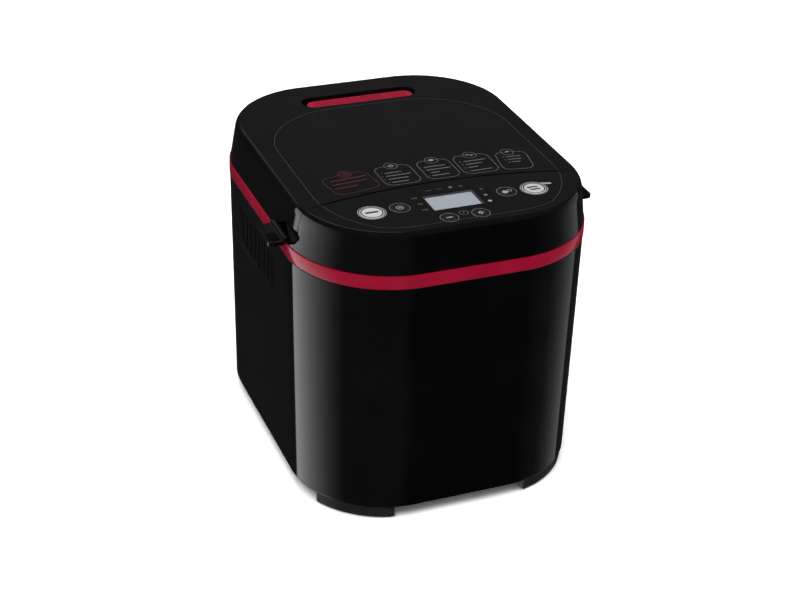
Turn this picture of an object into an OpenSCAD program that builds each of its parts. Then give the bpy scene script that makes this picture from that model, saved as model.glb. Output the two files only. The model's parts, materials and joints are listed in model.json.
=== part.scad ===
// Bread machine for a 1 kg loaf, an assembly of separate pieces.
// Millimetres, +Z up, front at -Y, origin on the table under the middle of the machine.

/* [Housing] */
// Width over the trim band
body_w = 293; // [285:1:310]
// Depth over the trim band
body_d = 357; // [350:1:370]
// Radius of the upright corners
corner_r = 98; // [90:1:105]
// Height of the lid's top face
total_h = 304; // [300:1:315]
// Height of the lid, from the trim band's upper edge to the top face
lid_h = 40.4; // [38:0.2:44]
// Height of the red trim band
band_h = 13.3; // [8:0.1:18]
// Thickness of the red trim band
band_t = 2.2; // [1.6:0.1:3]
// How far the band stands proud of the walls
band_proud = 0.5; // [0:0.1:1]
// Inward lean of each side wall at the bottom
draft_x = 4.5; // [0:0.5:7]
// Inward lean of the front and rear walls at the bottom
draft_y = 0.5; // [0:0.5:3]
// Wall of the moulded shells
shell_t = 2.8; // [2.2:0.1:3.4]
// Round of the shell's lower edge
foot_round = 3; // [2:0.5:6]
// Height of the feet
foot_h = 12.3; // [10:0.1:14]
// Distance of the front panel's seam behind the front
seam_in = 81.5; // [77:0.5:86]
// Width of a visible seam
seam_gap = 0.6; // [0.3:0.1:1]

/* [Side vents] */
// Number of vent pockets on each side
vent_count = 8; // [5:1:9]
// Spacing of the vent pockets
vent_pitch = 13.6; // [12:0.2:15]
// Width of a vent pocket
vent_w = 9.4; // [7:0.2:11]
// Height of a vent pocket
vent_h = 40; // [25:1:50]
// Depth of a vent pocket
vent_deep = 1.5; // [0.8:0.1:2]
// Width of the slit in each pocket
vent_slit = 3.6; // [2:0.1:3.8]
// Distance of the vents' middle below the trim band
vent_low = 40.3; // [36:0.1:60]

/* [Lid and control top] */
// Radius of the seam between lid and control top
arc_r = 520; // [450:10:650]
// Distance of that seam behind the front, on the centre line
arc_in = 94; // [91:0.5:96]
// Lean of that seam
arc_lean = 11.5; // [8:0.5:14]
// How far the side walls lean in from the band to the top face
lean_side = 11.5; // [8:0.1:13]
// How far the rear wall leans in
lean_back = 13.8; // [8:0.2:15]
// How far the front wall leans in
lean_front = 8.5; // [6:0.5:10]
// Thickness of the printed cover plates
plate_t = 0.8; // [0.6:0.1:1.2]
// Distance of the cover plates from the sides
plate_in = 26.5; // [22:0.5:30]
// Distance of the cover plates from the rear
plate_back = 74.5; // [72:0.5:80]
// Distance of the cover plates from the front
plate_front = 15; // [14.6:0.2:18]
// Radius of the cover plates' rear corners
plate_r = 84; // [70:1:90]
// Radius of the cover plates' front corners
plate_front_r = 97; // [84:1:100]
// Width of the steam vent well
well_w = 122; // [100:1:130]
// Depth of the steam vent well, front to back
well_d = 25; // [22:1:28]
// Distance of the well's middle from the rear
well_in = 54.5; // [49:0.5:56]
// Depth of the well below the lid's top
well_deep = 7; // [6:0.5:10]

/* [Lid grips] */
// How far a grip reaches out from the wall
grip_out = 16.8; // [12:0.2:20]
// Length of a grip
grip_len = 40; // [34:1:44]
// Distance of the grip's middle behind the front
grip_in = 112.5; // [108:0.5:116]
// Thickness of a grip
grip_t = 4.4; // [4:0.2:5]

/* [Buttons and display] */
// Radius of the two large keys
key_large_r = 11.4; // [10:0.1:12]
// Radius of the two middle keys
key_small_r = 8.3; // [6.5:0.1:9]
// Radius of the two stepping keys
key_step_r = 7.4; // [6:0.1:8]
// Play round a key
key_play = 0.3; // [0.2:0.05:0.5]
// Travel of a key
key_travel = 1; // [0.6:0.1:1.2]
// Display width
lcd_w = 50; // [42:1:54]
// Display depth
lcd_d = 30; // [26:1:32]

/* [Chamber and pan] */
// Room between pan and chamber at each side
cham_side = 20; // [18:0.5:22]
// Distance of the chamber behind the housing's front
cham_front = 116.5; // [112:0.5:120]
// Distance of the chamber from the housing's rear
cham_back = 40.5; // [39:0.5:45]
// Height of the chamber floor
cham_z = 60; // [56:1:64]
// Sheet thickness of the chamber
cham_t = 1.2; // [0.8:0.1:1.6]
// Corner radius of the chamber
cham_r = 20; // [16:1:24]
// Pan width over its wall, at the top
pan_w = 166; // [150:1:170]
// Pan depth over its wall, at the top
pan_d = 134; // [120:1:138]
// Height of the pan's rim
pan_top = 205; // [195:1:208]
// Height of the pan's underside
pan_z = 86; // [84:1:92]
// Wall of the pan
pan_t = 1.6; // [1.2:0.1:2.4]
// Taper of each pan wall towards the bottom
pan_taper = 4; // [2:0.5:6]
// Diameter of the bail's wire
bail_d = 4; // [3:0.5:5]
// Diameter of the heating element
heater_d = 6.5; // [5:0.5:8]

/* [Drive] */
// Radius of the two shafts of the kneading drive
shaft_r = 4; // [3:0.5:5]
// Running clearance of a shaft in its bush
run_play = 0.05; // [0.02:0.01:0.08]
// Teeth on the large pulley
teeth_large = 80; // [60:1:90]
// Teeth on the motor pulley
teeth_small = 16; // [14:1:20]
// Tooth pitch of the drive belt
belt_pitch = 3.2; // [2.5:0.1:3.4]
// Width of the drive belt
belt_w = 9; // [6:0.5:10]
// Thickness of the drive belt
belt_t = 1.8; // [1.4:0.1:2.2]
// Distance of the motor to the left
motor_x = 66; // [60:1:72]
// Distance of the motor behind the front
motor_in = 58.5; // [55:0.5:60]
// Radius of the motor's stator
motor_r = 37; // [32:1:40]

/* [Hidden] */
$fn = 48;
black = [0.02, 0.02, 0.022];
red = [0.5, 0.01, 0.04];
steel = [0.62, 0.63, 0.64];
alloy = [0.75, 0.76, 0.77];
silver = [0.7, 0.7, 0.72];
corner_steps = 14;
big = 1000;
// Fit between pieces that slip together
slip = 0.3;

// Distances given from the front, rear or sides, as places
front = -body_d / 2;
rear = body_d / 2;
seam_y = rear - seam_in;
arc_y = rear - arc_in;
well_y = rear - well_in;
grip_y = rear - grip_in;
motor_y = rear - motor_in;
cham_w = pan_w + 2 * cham_side;
cham_d = body_d - cham_front - cham_back;
cham_y = (cham_front - cham_back) / 2;
deck_z = total_h - lid_h;

// The shell's lower edge, where its inner flange lies
shell_z = foot_h;
flange_t = 3.2;
flange_in = 20;
band_z = deck_z - band_h;
wall_top = band_z - 0.4;
skirt_t = 2.6;
skirt_low = 7;
skirt_z = wall_top - skirt_low + 0.05;
deck_t = 2.6;
deck_drop = 2.6;
deck_top = deck_z - deck_drop;
lid_z = deck_z + 0.8;
top_t = 2.6;
inner_top = total_h - top_t;

base_t = 2.5;
base_z = shell_z + flange_t;
floor_z = base_z + base_t;
chassis_t = 2;
chassis_z = cham_z - chassis_t;

// Hinge of the lid, close to its rear wall
hinge_y = body_d / 2 - 6.5;
hinge_z = deck_z + 6.5;
// Lower edge of the lid's rear wall, clear of the deck when the lid swings up
relief_z = hinge_z - 3.5;
lug_r = 3.7;
pocket_deep = 6;
pin_r = 1.6;
lug_x = 36;
lug_len = 22;
pin_over = 5;

// Keys
key_z = inner_top - 0.2;
key_flange = 1.2;
key_flange_t = 1.5;
key_proud = 0.4;
key_stem_r = 2.5;
key_stem = 2.7;
menu_at = [-79.5, front + 52.5];
loaf_at = [-52.3, front + 54];
minus_at = [-17.2, front + 22.5];
plus_at = [13.3, front + 22.5];
crust_at = [53, front + 54.7];
start_at = [80, front + 53.1];
post_at = [[-94, front + 72.5], [94, front + 72.5], [-48, front + 23.5], [48, front + 23.5]];
post_r = 3;

board_t = 1.6;
switch_h = 2;
switch_size = 6;
board_z = key_z - key_flange_t - key_stem - key_travel - slip - switch_h - board_t;
board_w = 196;
board_d = 64;
board_y = rear - 45.5;
lens_t = 1.2;
lcd_y = rear - 54.5;

// Chamber flange round its mouth
mouth_flange = 10;
mouth_z = deck_top;
seal_w = 5;
seal_in = 2.5;
liner_t = 1.2;
liner_z = deck_z + 2.2;
dome_in = 8;
dome_z = total_h - 16;
dome_d = pan_d + 16;

heater_z = 84;
heater_in = 11;
heater_bend = 24;
heater_gap = 18;
heater_tail = 12;

socket_r = 36;
socket_t = 2.4;
socket_h = 11;
skirt_r = socket_r - 0.4;
pan_skirt_t = 2;
bail_pivot = pan_top - 8;
bail_reach = pan_d / 2 + 6.5;
bail_side = pan_w / 2 + 7.5;
bail_bend = 16;
pan_r = 22;
rim_out = 3;

pulley_z = 30;
pulley_h = belt_w + 2;
pulley_flange = 1.2;
large_r = teeth_large * belt_pitch / (2 * PI);
small_r = teeth_small * belt_pitch / (2 * PI);
belt_play = 0.25;
shaft_low = pulley_z - pulley_h / 2 - pulley_flange - 3;
coupler_z = 70;
coupler_t = 3;
dog_h = 8;
dog_r = 20;
bush_r = 9;
bush_top = coupler_z - 1.2;
bush_flange_r = 17;
bush_flange_t = 3;
clip_t = 1;
motor_h = 34;
bell_h = 17;
motor_z = chassis_z + chassis_t + bell_h;
motor_shaft_r = 3;

// Vents, gland and sensor
vent_y = 10.8;
vent_z = band_z - vent_low;
vent_x = body_w / 2 - band_proud - draft_x * (wall_top - vent_z) / (wall_top - shell_z - foot_round);
gland_x = 34;
gland_z = 40;
gland_r = 6.5;
sensor_x = 62;
sensor_z = 112;

// Screws and columns
base_in = 17;
side_screw = body_w / 2 - 21.5;
column_x = cham_w / 2 + 9;
boss_x = cham_w / 2 + 17;
shell_screws = [[-40, front + 21.5], [40, front + 21.5], [-40, rear - 21.5], [40, rear - 21.5],
    [-side_screw, 0], [side_screw, 0]];
column_at = [[-column_x, -50], [column_x, -50], [-column_x, 84], [column_x, 84],
    [-64, rear - 31.5], [64, rear - 31.5], [20, front + 28.5]];
boss_at = [[-boss_x, -30], [boss_x, -30], [-boss_x, 66], [boss_x, 66],
    [-72, rear - 25.5], [72, rear - 25.5]];
bearing_bolts = [45, 135, 225, 315];
bearing_r = 13.2;
power_at = [64, front + 62.5];
power_z = chassis_z + chassis_t + 8;
motor_bolts = [0, 90, 180, 270];
bolt_r = 31;
bell_cavity = 28;
rotor_r = 19;
bush_low = pulley_z + pulley_h / 2 + pulley_flange + 2;
keys = [[menu_at, key_large_r], [loaf_at, key_small_r], [minus_at, key_step_r],
    [plus_at, key_step_r], [crust_at, key_small_r], [start_at, key_large_r]];

// A rounded rectangle in the plane, made of true arcs
module rrect(w, d, r) {
    square([w - 2 * r, d], center = true);
    square([w, d - 2 * r], center = true);
    for (x = [-1, 1], y = [-1, 1])
        translate([x * (w / 2 - r), y * (d / 2 - r)]) circle(r);
}

module slab(w, d, r, z, h) {
    translate([0, 0, z]) linear_extrude(h) rrect(w, d, r);
}

// The housing's outline, moved inwards
module outline(inset) {
    rrect(body_w - 2 * inset, body_d - 2 * inset, corner_r - inset);
}

module outline_slab(inset, z, h) {
    translate([0, 0, z]) linear_extrude(h) outline(inset);
}

// Points of one level of a lofted form: the outline at height z, moved in at sides, front and rear
function ring(side, fore, aft, z) = [
    for (q = [0:3], k = [0:corner_steps])
        let (a = 90 * q + 90 * k / corner_steps,
             r = corner_r - max(side, fore, aft),
             x = body_w / 2 - side - r,
             y = q < 2 ? rear - aft - r : front + fore + r)
        [((q == 0 || q == 3) ? x : -x) + r * cos(a), y + r * sin(a), z]
];

// A closed form through levels of [side, front, rear, z]
module loft(levels) {
    n = 4 * (corner_steps + 1);
    m = len(levels);
    points = [for (l = levels) each ring(l[0], l[1], l[2], l[3])];
    sides = [for (j = [0:m - 2], i = [0:n - 1])
        let (a = j * n + i, b = j * n + (i + 1) % n)
        each [[a, a + n, b], [b, a + n, b + n]]];
    floor_face = [for (i = [0:n - 1]) i];
    roof_face = [for (i = [n - 1:-1:0]) (m - 1) * n + i];
    polyhedron(points, concat(sides, [floor_face], [roof_face]), convexity = 6);
}

// Levels of the lower walls, from the rounded lower edge up to the band
function wall_levels(t, z0, z1) = [
    for (l = [[1, 1, 0], [0.45, 1, 0.2], [0.13, 1, 0.5], [0, 1, 1]])
        [draft_x + foot_round * l[0] + t, draft_y + foot_round * l[0] + t, draft_y + foot_round * l[0] + t,
            z0 + foot_round * l[2]],
    [t, t, t, z1]
];

// The lid's leaning walls with their rounded shoulder, as shares of its height and lean
profile = [[0, 0.09], [0.22, 0.22], [0.52, 0.36], [0.8, 0.52], [0.93, 0.72], [1, 1]];

// Levels of the lid and control top, from the band up to the top face
function top_levels(t, z0, z1) = [
    for (l = profile)
        [lean_side * l[1] + t, lean_front * l[1] + t, lean_back * l[1] + t, z0 + (z1 - z0) * l[0]]
];

module wall_form() {
    difference() {
        loft(wall_levels(band_proud, shell_z, wall_top));
        loft([for (l = wall_levels(band_proud + shell_t, shell_z, band_z + 10))
            [l[0], l[1], l[2], l[3] + flange_t]]);
        outline_slab(flange_in + draft_x, shell_z - 5, 20);
        outline_slab(band_t - 0.05, wall_top - skirt_low, 20);
        for (p = shell_screws) translate([p[0], p[1], shell_z - 1]) cylinder(r = 1.75, h = 8);
    }
}

module front_half(y) {
    translate([-big / 2, -big - y, -big / 2]) cube([big, big, big]);
}

// The leaning cylinder that parts the control top from the lid
module control_zone(grow) {
    translate([0, -arc_y, total_h]) rotate([arc_lean, 0, 0])
        translate([0, -arc_r, -100]) cylinder(r = arc_r + grow, h = 140, $fn = 180);
}

module at_corners(w, d) {
    for (x = [-1, 1], y = [-1, 1]) translate([x * w, y * d, 0]) children();
}

module screw(r, head_r, length) {
    cylinder(r = r, h = length);
    difference() {
        translate([0, 0, -head_r * 0.7]) cylinder(r = head_r, h = head_r * 0.7);
        for (a = [0, 90]) rotate([0, 0, a])
            translate([-head_r * 0.6, -0.5, -head_r]) cube([head_r * 1.2, 1, head_r * 0.8]);
    }
}

// The cover plates' region on the top, shrunk by play
module plate_form(z, h, play) {
    w = body_w - 2 * (plate_in + play);
    y0 = front + 1 + play;
    y1 = rear - plate_back - play;
    intersection() {
        translate([0, (y0 + y1) / 2 - 100, z]) linear_extrude(h)
            rrect(w, y1 - y0 + 200, plate_r - play);
        translate([0, (y0 + y1) / 2 + 100, z - 1]) linear_extrude(h + 2)
            rrect(w, y1 - y0 + 200, plate_front_r - play);
        outline_slab(plate_front + play, z - 1, h + 2);
    }
}

// Finger recesses over the grips, running on across the seam; grow gives their walls
module side_pockets(grow, depth) {
    y = -grip_y;
    z = lid_z + 5.4;
    for (m = [0, 1]) mirror([m, 0, 0]) translate([body_w / 2 - depth, 0, 0]) rotate([90, 0, 90])
        linear_extrude(depth + 10) polygon([
            [y + 11.5 + 2.5 * grow, z - grow], [y + 11.5 + 2.5 * grow, z + 1.4], [y - 13 + grow, z + 12.4 + grow],
            [y - 39 - grow, z + 12.6 + grow], [y - 41 - grow, z + 10.2], [y - 37 - grow, z + 3.6],
            [y - 31 - grow, z - grow]
        ]);
}

// The side walls' recesses as thin pans inside the lid
module pocket_walls() {
    intersection() {
        side_pockets(1.8, pocket_deep + 1.8);
        loft(top_levels(0.2, lid_z, total_h));
    }
}

// A grip's flat lip from the lid's wall outwards
module grip_form() {
    tip = body_w / 2 + grip_out;
    wall = body_w / 2 - 3;
    top = lid_z + 2.6;
    low = top - grip_t;
    intersection() {
        translate([0, grip_len / 2, 0]) rotate([90, 0, 0]) linear_extrude(grip_len) polygon([
            [wall, lid_z + 0.4], [body_w / 2 + 0.6, lid_z + 0.4], [body_w / 2 + 0.6, low],
            [tip - 1, low], [tip, low + 1], [tip, top - 1], [tip - 1, top],
            [body_w / 2 + 3, top], [body_w / 2 + 2, top + 1.6], [body_w / 2, top + 2.8], [wall, top + 3]
        ]);
        translate([body_w / 2 - 4, 0, lid_z - 20]) linear_extrude(60)
            rrect(2 * (grip_out + 4), grip_len, 4);
    }
}

// ---------- Base ----------

module foot_ring(r0, r1, z0, z1, a0, a1) {
    reach = 2 * r1;
    for (m = [0, 1], k = [0, 1]) mirror([m, 0, 0]) mirror([0, k, 0])
        translate([body_w / 2 - corner_r, rear - corner_r + draft_x - draft_y, z0]) intersection() {
            difference() {
                cylinder(r = r1, h = z1 - z0);
                translate([0, 0, -1]) cylinder(r = r0, h = z1 - z0 + 2);
            }
            translate([0, 0, -0.5]) linear_extrude(z1 - z0 + 1) polygon([
                [0, 0], [reach * cos(a0), reach * sin(a0)],
                [reach * cos((a0 + a1) / 2), reach * sin((a0 + a1) / 2)],
                [reach * cos(a1), reach * sin(a1)]
            ]);
        }
}

module feet() {
    r = corner_r - draft_x - band_proud;
    color(black) difference() {
        foot_ring(r - 15.5, r - 2, 1.5, shell_z, 27, 78);
        foot_ring(r - 13.4, r - 4.1, 0, 3, 29, 76);
    }
}

module foot_pads() {
    r = corner_r - draft_x - band_proud;
    color([0.08, 0.08, 0.085]) foot_ring(r - 13.3, r - 4.2, 0, 3, 29.1, 75.9);
}

module base_plate() {
    color(steel) difference() {
        union() {
            outline_slab(base_in, base_z, base_t);
            for (p = column_at) translate([p[0], p[1], floor_z - 1]) cylinder(r = 6, h = chassis_z - floor_z + 1);
        }
        for (p = shell_screws) translate([p[0], p[1], base_z - 1]) cylinder(r = 1.55, h = 6);
        for (p = column_at) translate([p[0], p[1], base_z - 1]) cylinder(r = 1.55, h = 70);
        for (i = [-3:3]) translate([70, i * 12, base_z - 1]) linear_extrude(5) rrect(44, 4, 1.9);
    }
}

module base_screws() {
    color(steel) {
        for (p = shell_screws) translate([p[0], p[1], shell_z]) screw(1.5, 3.2, 5.5);
        for (p = column_at) translate([p[0], p[1], chassis_z + chassis_t]) mirror([0, 0, 1])
            screw(1.5, 3.2, 14);
        for (a = bearing_bolts) translate([0, cham_y, chassis_z - bush_flange_t]) rotate([0, 0, a])
            translate([bearing_r, 0, 0]) screw(1.5, 2.9, 5);
        for (p = post_at) translate([p[0], p[1], board_z]) screw(1, 2, 6);
    }
}

// ---------- Walls ----------

module body_shell() {
    color(black) difference() {
        wall_form();
        front_half(seam_y - seam_gap / 2);
        for (s = [-1, 1], i = [0:vent_count - 1])
            translate([s * vent_x, vent_y + (i - (vent_count - 1) / 2) * vent_pitch, vent_z]) {
                cube([2 * vent_deep, vent_w, vent_h], center = true);
                cube([6 * shell_t, vent_slit, vent_h - 6], center = true);
            }
        for (s = [-1, 1]) translate([s * vent_x, vent_y, vent_z])
            cube([1.4, vent_count * vent_pitch - 1, vent_h + 3], center = true);
        translate([gland_x, body_d / 2, gland_z]) rotate([90, 0, 0])
            cylinder(r = gland_r + 0.1, h = 30, center = true);
    }
}

module front_panel() {
    color(black) intersection() {
        wall_form();
        front_half(seam_y + seam_gap / 2);
    }
}

module trim_band() {
    color(red) difference() {
        outline_slab(0, band_z, band_h);
        outline_slab(band_t, band_z - 1, band_h + 2);
    }
}

module deck_frame() {
    color([0.05, 0.05, 0.055]) difference() {
        union() {
            difference() {
                outline_slab(band_t + 0.05, skirt_z, deck_z - skirt_z);
                outline_slab(band_t + skirt_t, skirt_z - 1, deck_z);
            }
            outline_slab(band_t + 1, deck_top - deck_t, deck_t);
            for (s = [-1, 1]) translate([s * lug_x, hinge_y, hinge_z]) {
                rotate([0, 90, 0]) cylinder(r = lug_r, h = lug_len, center = true);
                translate([-lug_len / 2, -lug_r, deck_top - 1 - hinge_z])
                    cube([lug_len, 2 * lug_r - 1.2, hinge_z - deck_top + 1]);
            }
        }
        translate([0, cham_y, 0]) slab(cham_w + 2 * cham_t + 2 * slip, cham_d + 2 * cham_t + 2 * slip,
            cham_r + cham_t + slip, deck_top - 10, 20);
        translate([0, -lcd_y, 0]) slab(150, 56, 12, deck_top - 10, 20);
        for (s = [-1, 1]) translate([s * lug_x, hinge_y, hinge_z]) rotate([0, 90, 0])
            cylinder(r = pin_r + run_play, h = 60, center = true);
    }
}

// ---------- Control top ----------

module key_holes(play) {
    for (k = keys) translate([k[0][0], k[0][1], total_h - 12])
        cylinder(r = k[1] + play, h = 20);
}

module control_housing() {
    color(black) difference() {
        union() {
            difference() {
                intersection() {
                    loft(top_levels(0, lid_z, total_h));
                    control_zone(-seam_gap / 2);
                }
                intersection() {
                    loft(top_levels(top_t, lid_z - 1, inner_top));
                    control_zone(-seam_gap / 2 - top_t);
                }
            }
            intersection() {
                pocket_walls();
                control_zone(-seam_gap / 2);
            }
            intersection() {
                difference() {
                    union() {
                        outline_slab(3, lid_z + 1, 3);
                        outline_slab(5.2, deck_top, lid_z + 4 - deck_top);
                    }
                    outline_slab(7.6, deck_top - 1, 20);
                }
                control_zone(-seam_gap / 2 - 1);
            }
            for (p = post_at) translate([p[0], p[1], board_z + board_t])
                cylinder(r = post_r, h = total_h - 1.5 - board_z - board_t);
        }
        plate_form(total_h - 0.6, 5, 0);
        key_holes(key_play);
        translate([0, -lcd_y, total_h - 1.6]) linear_extrude(5) square([lcd_w + 0.2, lcd_d + 0.2], center = true);
        translate([0, -lcd_y, total_h - 9]) linear_extrude(15) square([lcd_w - 4, lcd_d - 4], center = true);
        side_pockets(0, pocket_deep);
        for (p = post_at) translate([p[0], p[1], board_z]) cylinder(r = 1.05, h = 7);
    }
}

module control_plate() {
    color([0.015, 0.015, 0.017]) difference() {
        intersection() {
            plate_form(total_h - 0.6, plate_t, 0.15);
            control_zone(-seam_gap / 2 - 0.8);
        }
        key_holes(key_play);
        translate([0, -lcd_y, total_h - 2]) linear_extrude(5) square([lcd_w + 0.4, lcd_d + 0.4], center = true);
    }
}

module display_lens() {
    color([0.72, 0.76, 0.78]) translate([0, -lcd_y, total_h - 1.6]) linear_extrude(lens_t)
        square([lcd_w, lcd_d], center = true);
}

module lcd_module() {
    color([0.55, 0.6, 0.6]) translate([0, -lcd_y, board_z + board_t]) {
        linear_extrude(3.2) square([lcd_w + 6, lcd_d + 4], center = true);
        linear_extrude(inner_top - 0.2 - board_z - board_t) square([lcd_w - 1, lcd_d - 1], center = true);
    }
}

module control_board() {
    color([0.05, 0.28, 0.16]) difference() {
        union() {
            intersection() {
                translate([0, -board_y, board_z]) linear_extrude(board_t) square([board_w, board_d], center = true);
                outline_slab(9, board_z - 1, 8);
            }
            for (k = keys) translate([k[0][0], k[0][1], board_z + board_t + switch_h / 2 - 0.1])
                cube([switch_size, switch_size, switch_h], center = true);
            translate([-30, -board_y + 18, board_z - 6]) cube([18, 14, 7]);
            translate([22, -board_y - 14, board_z - 5]) cube([26, 12, 6]);
        }
        for (p = post_at) translate([p[0], p[1], board_z - 1]) cylinder(r = 1.1, h = 4);
    }
}

module key(at, r) {
    color(silver) translate([at[0], at[1], 0]) {
        translate([0, 0, key_z]) cylinder(r = r, h = total_h + key_proud - key_z);
        translate([0, 0, key_z - key_flange_t]) cylinder(r = r + key_flange, h = key_flange_t);
        translate([0, 0, key_z - key_flange_t - key_stem]) cylinder(r = key_stem_r, h = key_stem);
    }
}

module menu_button() { key(menu_at, key_large_r); }
module loaf_button() { key(loaf_at, key_small_r); }
module minus_button() { key(minus_at, key_step_r); }
module plus_button() { key(plus_at, key_step_r); }
module crust_button() { key(crust_at, key_small_r); }
module start_button() { key(start_at, key_large_r); }

// ---------- Lid ----------

module lid_shell() {
    well_r = well_d / 2 - 0.1;
    color(black) difference() {
        union() {
            difference() {
                loft(top_levels(0, lid_z, total_h));
                control_zone(seam_gap / 2);
                difference() {
                    loft(top_levels(top_t, lid_z - 1, inner_top));
                    control_zone(seam_gap / 2 + top_t);
                }
            }
            difference() {
                pocket_walls();
                control_zone(seam_gap / 2);
            }
            translate([0, well_y, 0]) slab(well_w + 4, well_d + 4, well_r + 2, total_h - well_deep - 2,
                well_deep + 1);
            for (p = boss_at) translate([p[0], p[1], liner_z + liner_t])
                cylinder(r = 4, h = total_h - 1.5 - liner_z - liner_t);
            for (s = [-1, 1], k = [-1, 1])
                translate([s * lug_x + k * (lug_len + pin_over + 0.8) / 2, hinge_y, hinge_z])
                    rotate([0, 90, 0]) cylinder(r = lug_r, h = pin_over, center = true);
        }
        plate_form(total_h - 0.6, 5, 0);
        translate([0, well_y, 0]) slab(well_w, well_d, well_r, total_h - well_deep, 20);
        translate([0, well_y, 0]) slab(well_w - 16, 9, 4.4, total_h - 20, 20);
        side_pockets(0, pocket_deep);
        translate([-90, hinge_y - 1, lid_z - 5]) cube([180, 20, relief_z - lid_z + 5]);
        for (s = [-1, 1]) translate([s * lug_x, hinge_y, hinge_z]) {
            translate([-lug_len / 2 - 0.4, -12, -12]) cube([lug_len + 0.8, 24, 12 + lug_r + 1]);
            rotate([0, 90, 0]) cylinder(r = pin_r + 0.02, h = lug_len + 2 * pin_over + 0.6, center = true);
        }
        for (p = boss_at) translate([p[0], p[1], liner_z]) cylinder(r = 1.52, h = 14);
    }
}

module lid_plate() {
    color([0.015, 0.015, 0.017]) difference() {
        plate_form(total_h - 0.6, plate_t, 0.15);
        control_zone(seam_gap / 2 + 0.8);
    }
}

module vent_insert() {
    color(red) difference() {
        translate([1, well_y - 1.5, 0]) slab(well_w - 9, well_d - 7, 8.8, total_h - well_deep, 4.6);
        for (i = [-2:2]) translate([1, well_y - 1.5 + i * 3, 0])
            slab(well_w - 22, 1.1, 0.5, total_h - well_deep + 2.8, 6);
        for (i = [-1:1]) translate([1, well_y - 1.5 + i * 3, 0])
            slab(well_w - 42, 0.9, 0.42, total_h - well_deep - 2, 10);
    }
}

module lid_liner() {
    dome_w = cham_w - 8;
    color(alloy) difference() {
        union() {
            difference() {
                outline_slab(dome_in, liner_z, liner_t);
                control_zone(seam_gap / 2 + top_t + 1);
            }
            translate([0, cham_y, 0]) slab(dome_w, dome_d, 24, liner_z, dome_z - liner_z);
        }
        translate([0, cham_y, 0]) slab(dome_w - 2 * liner_t, dome_d - 2 * liner_t, 24 - liner_t,
            liner_z - 1, dome_z - liner_z + 1 - liner_t);
        for (p = boss_at) translate([p[0], p[1], liner_z - 1]) cylinder(r = 1.7, h = 5);
        for (i = [-3:3]) translate([i * 14, cham_y + 52, dome_z - 5]) linear_extrude(8) rrect(5, 24, 2.4);
        translate([-90, hinge_y - 7, liner_z - 1]) cube([180, 20, 5]);
    }
}

module lid_seal() {
    w = cham_w + 2 * seal_in;
    d = cham_d + 2 * seal_in;
    z = deck_top + cham_t + 0.3;
    color([0.12, 0.12, 0.12]) translate([0, cham_y, 0]) difference() {
        slab(w + 2 * seal_w, d + 2 * seal_w, cham_r + seal_in + seal_w, z, liner_z - z);
        slab(w, d, cham_r + seal_in, z - 1, 10);
    }
}

module lid_screws() {
    color(steel) for (p = boss_at) translate([p[0], p[1], liner_z]) screw(1.5, 2.9, 10);
}

module lid_grips() {
    color(black) difference() {
        for (m = [0, 1]) mirror([m, 0, 0]) translate([0, -grip_y, 0]) grip_form();
        loft(top_levels(-0.04, lid_z, total_h));
    }
}

module hinge_pins() {
    color(steel) for (s = [-1, 1]) translate([s * lug_x, hinge_y, hinge_z]) rotate([0, 90, 0])
        cylinder(r = pin_r, h = lug_len + 2 * pin_over, center = true);
}

// ---------- Chamber ----------

module chamber() {
    color([0.5, 0.5, 0.5]) translate([0, cham_y, 0]) difference() {
        union() {
            slab(cham_w + 2 * cham_t, cham_d + 2 * cham_t, cham_r + cham_t, cham_z, mouth_z - cham_z + cham_t);
            slab(cham_w + 2 * (cham_t + mouth_flange), cham_d + 2 * (cham_t + mouth_flange),
                cham_r + cham_t + mouth_flange, mouth_z, cham_t);
        }
        slab(cham_w, cham_d, cham_r, cham_z + cham_t, 300);
        translate([0, 0, cham_z - 1]) cylinder(r = bush_r + 0.2, h = 5);
        for (s = [-1, 1]) translate([s * heater_gap / 2, -cham_d / 2, heater_z]) rotate([90, 0, 0])
            cylinder(r = heater_d / 2 + 0.1, h = 10, center = true);
        translate([sensor_x, -cham_d / 2, sensor_z]) rotate([90, 0, 0]) cylinder(r = 3.1, h = 10, center = true);
    }
}

module rod(a, b, r) {
    v = b - a;
    l = norm(v);
    translate(a) rotate([0, acos(v[2] / l), atan2(v[1], v[0])]) cylinder(r = r, h = l);
}

module heating_element() {
    w = cham_w / 2 - heater_in;
    d = cham_d / 2 - heater_in;
    r = heater_d / 2;
    color([0.28, 0.28, 0.28]) translate([0, cham_y, heater_z]) {
        for (s = [-1, 1]) {
            rod([s * w, -d + heater_bend, 0], [s * w, d - heater_bend, 0], r);
            rod([s * (heater_gap / 2 + 8), -d, 0], [s * (w - heater_bend), -d, 0], r);
            rod([s * heater_gap / 2, -d - 8, 0], [s * heater_gap / 2, -cham_d / 2 - heater_tail, 0], r);
        }
        rod([-w + heater_bend, d, 0], [w - heater_bend, d, 0], r);
        for (m = [0, 1]) mirror([m, 0, 0]) {
            translate([w - heater_bend, d - heater_bend, 0]) rotate_extrude(angle = 90)
                translate([heater_bend, 0]) circle(r);
            translate([w - heater_bend, -d + heater_bend, 0]) rotate([0, 0, -90]) rotate_extrude(angle = 90)
                translate([heater_bend, 0]) circle(r);
            translate([heater_gap / 2 + 8, -d - 8, 0]) rotate([0, 0, 90]) rotate_extrude(angle = 90)
                translate([8, 0]) circle(r);
        }
    }
}

module heater_clips() {
    r = heater_d / 2;
    color(steel) for (m = [0, 1], y = [-45, 45]) mirror([m, 0, 0])
        translate([cham_w / 2 - heater_in, cham_y + y, heater_z]) difference() {
            translate([-r - 1.6, -4, -r - 1.6]) cube([heater_in + r + 1.6 - 0.02, 8, 2 * r + 3.2]);
            rotate([90, 0, 0]) cylinder(r = r + 0.03, h = 20, center = true);
            translate([r + 1.5, -5, -r]) cube([heater_in - r - 3, 10, 2 * r]);
        }
}

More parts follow.
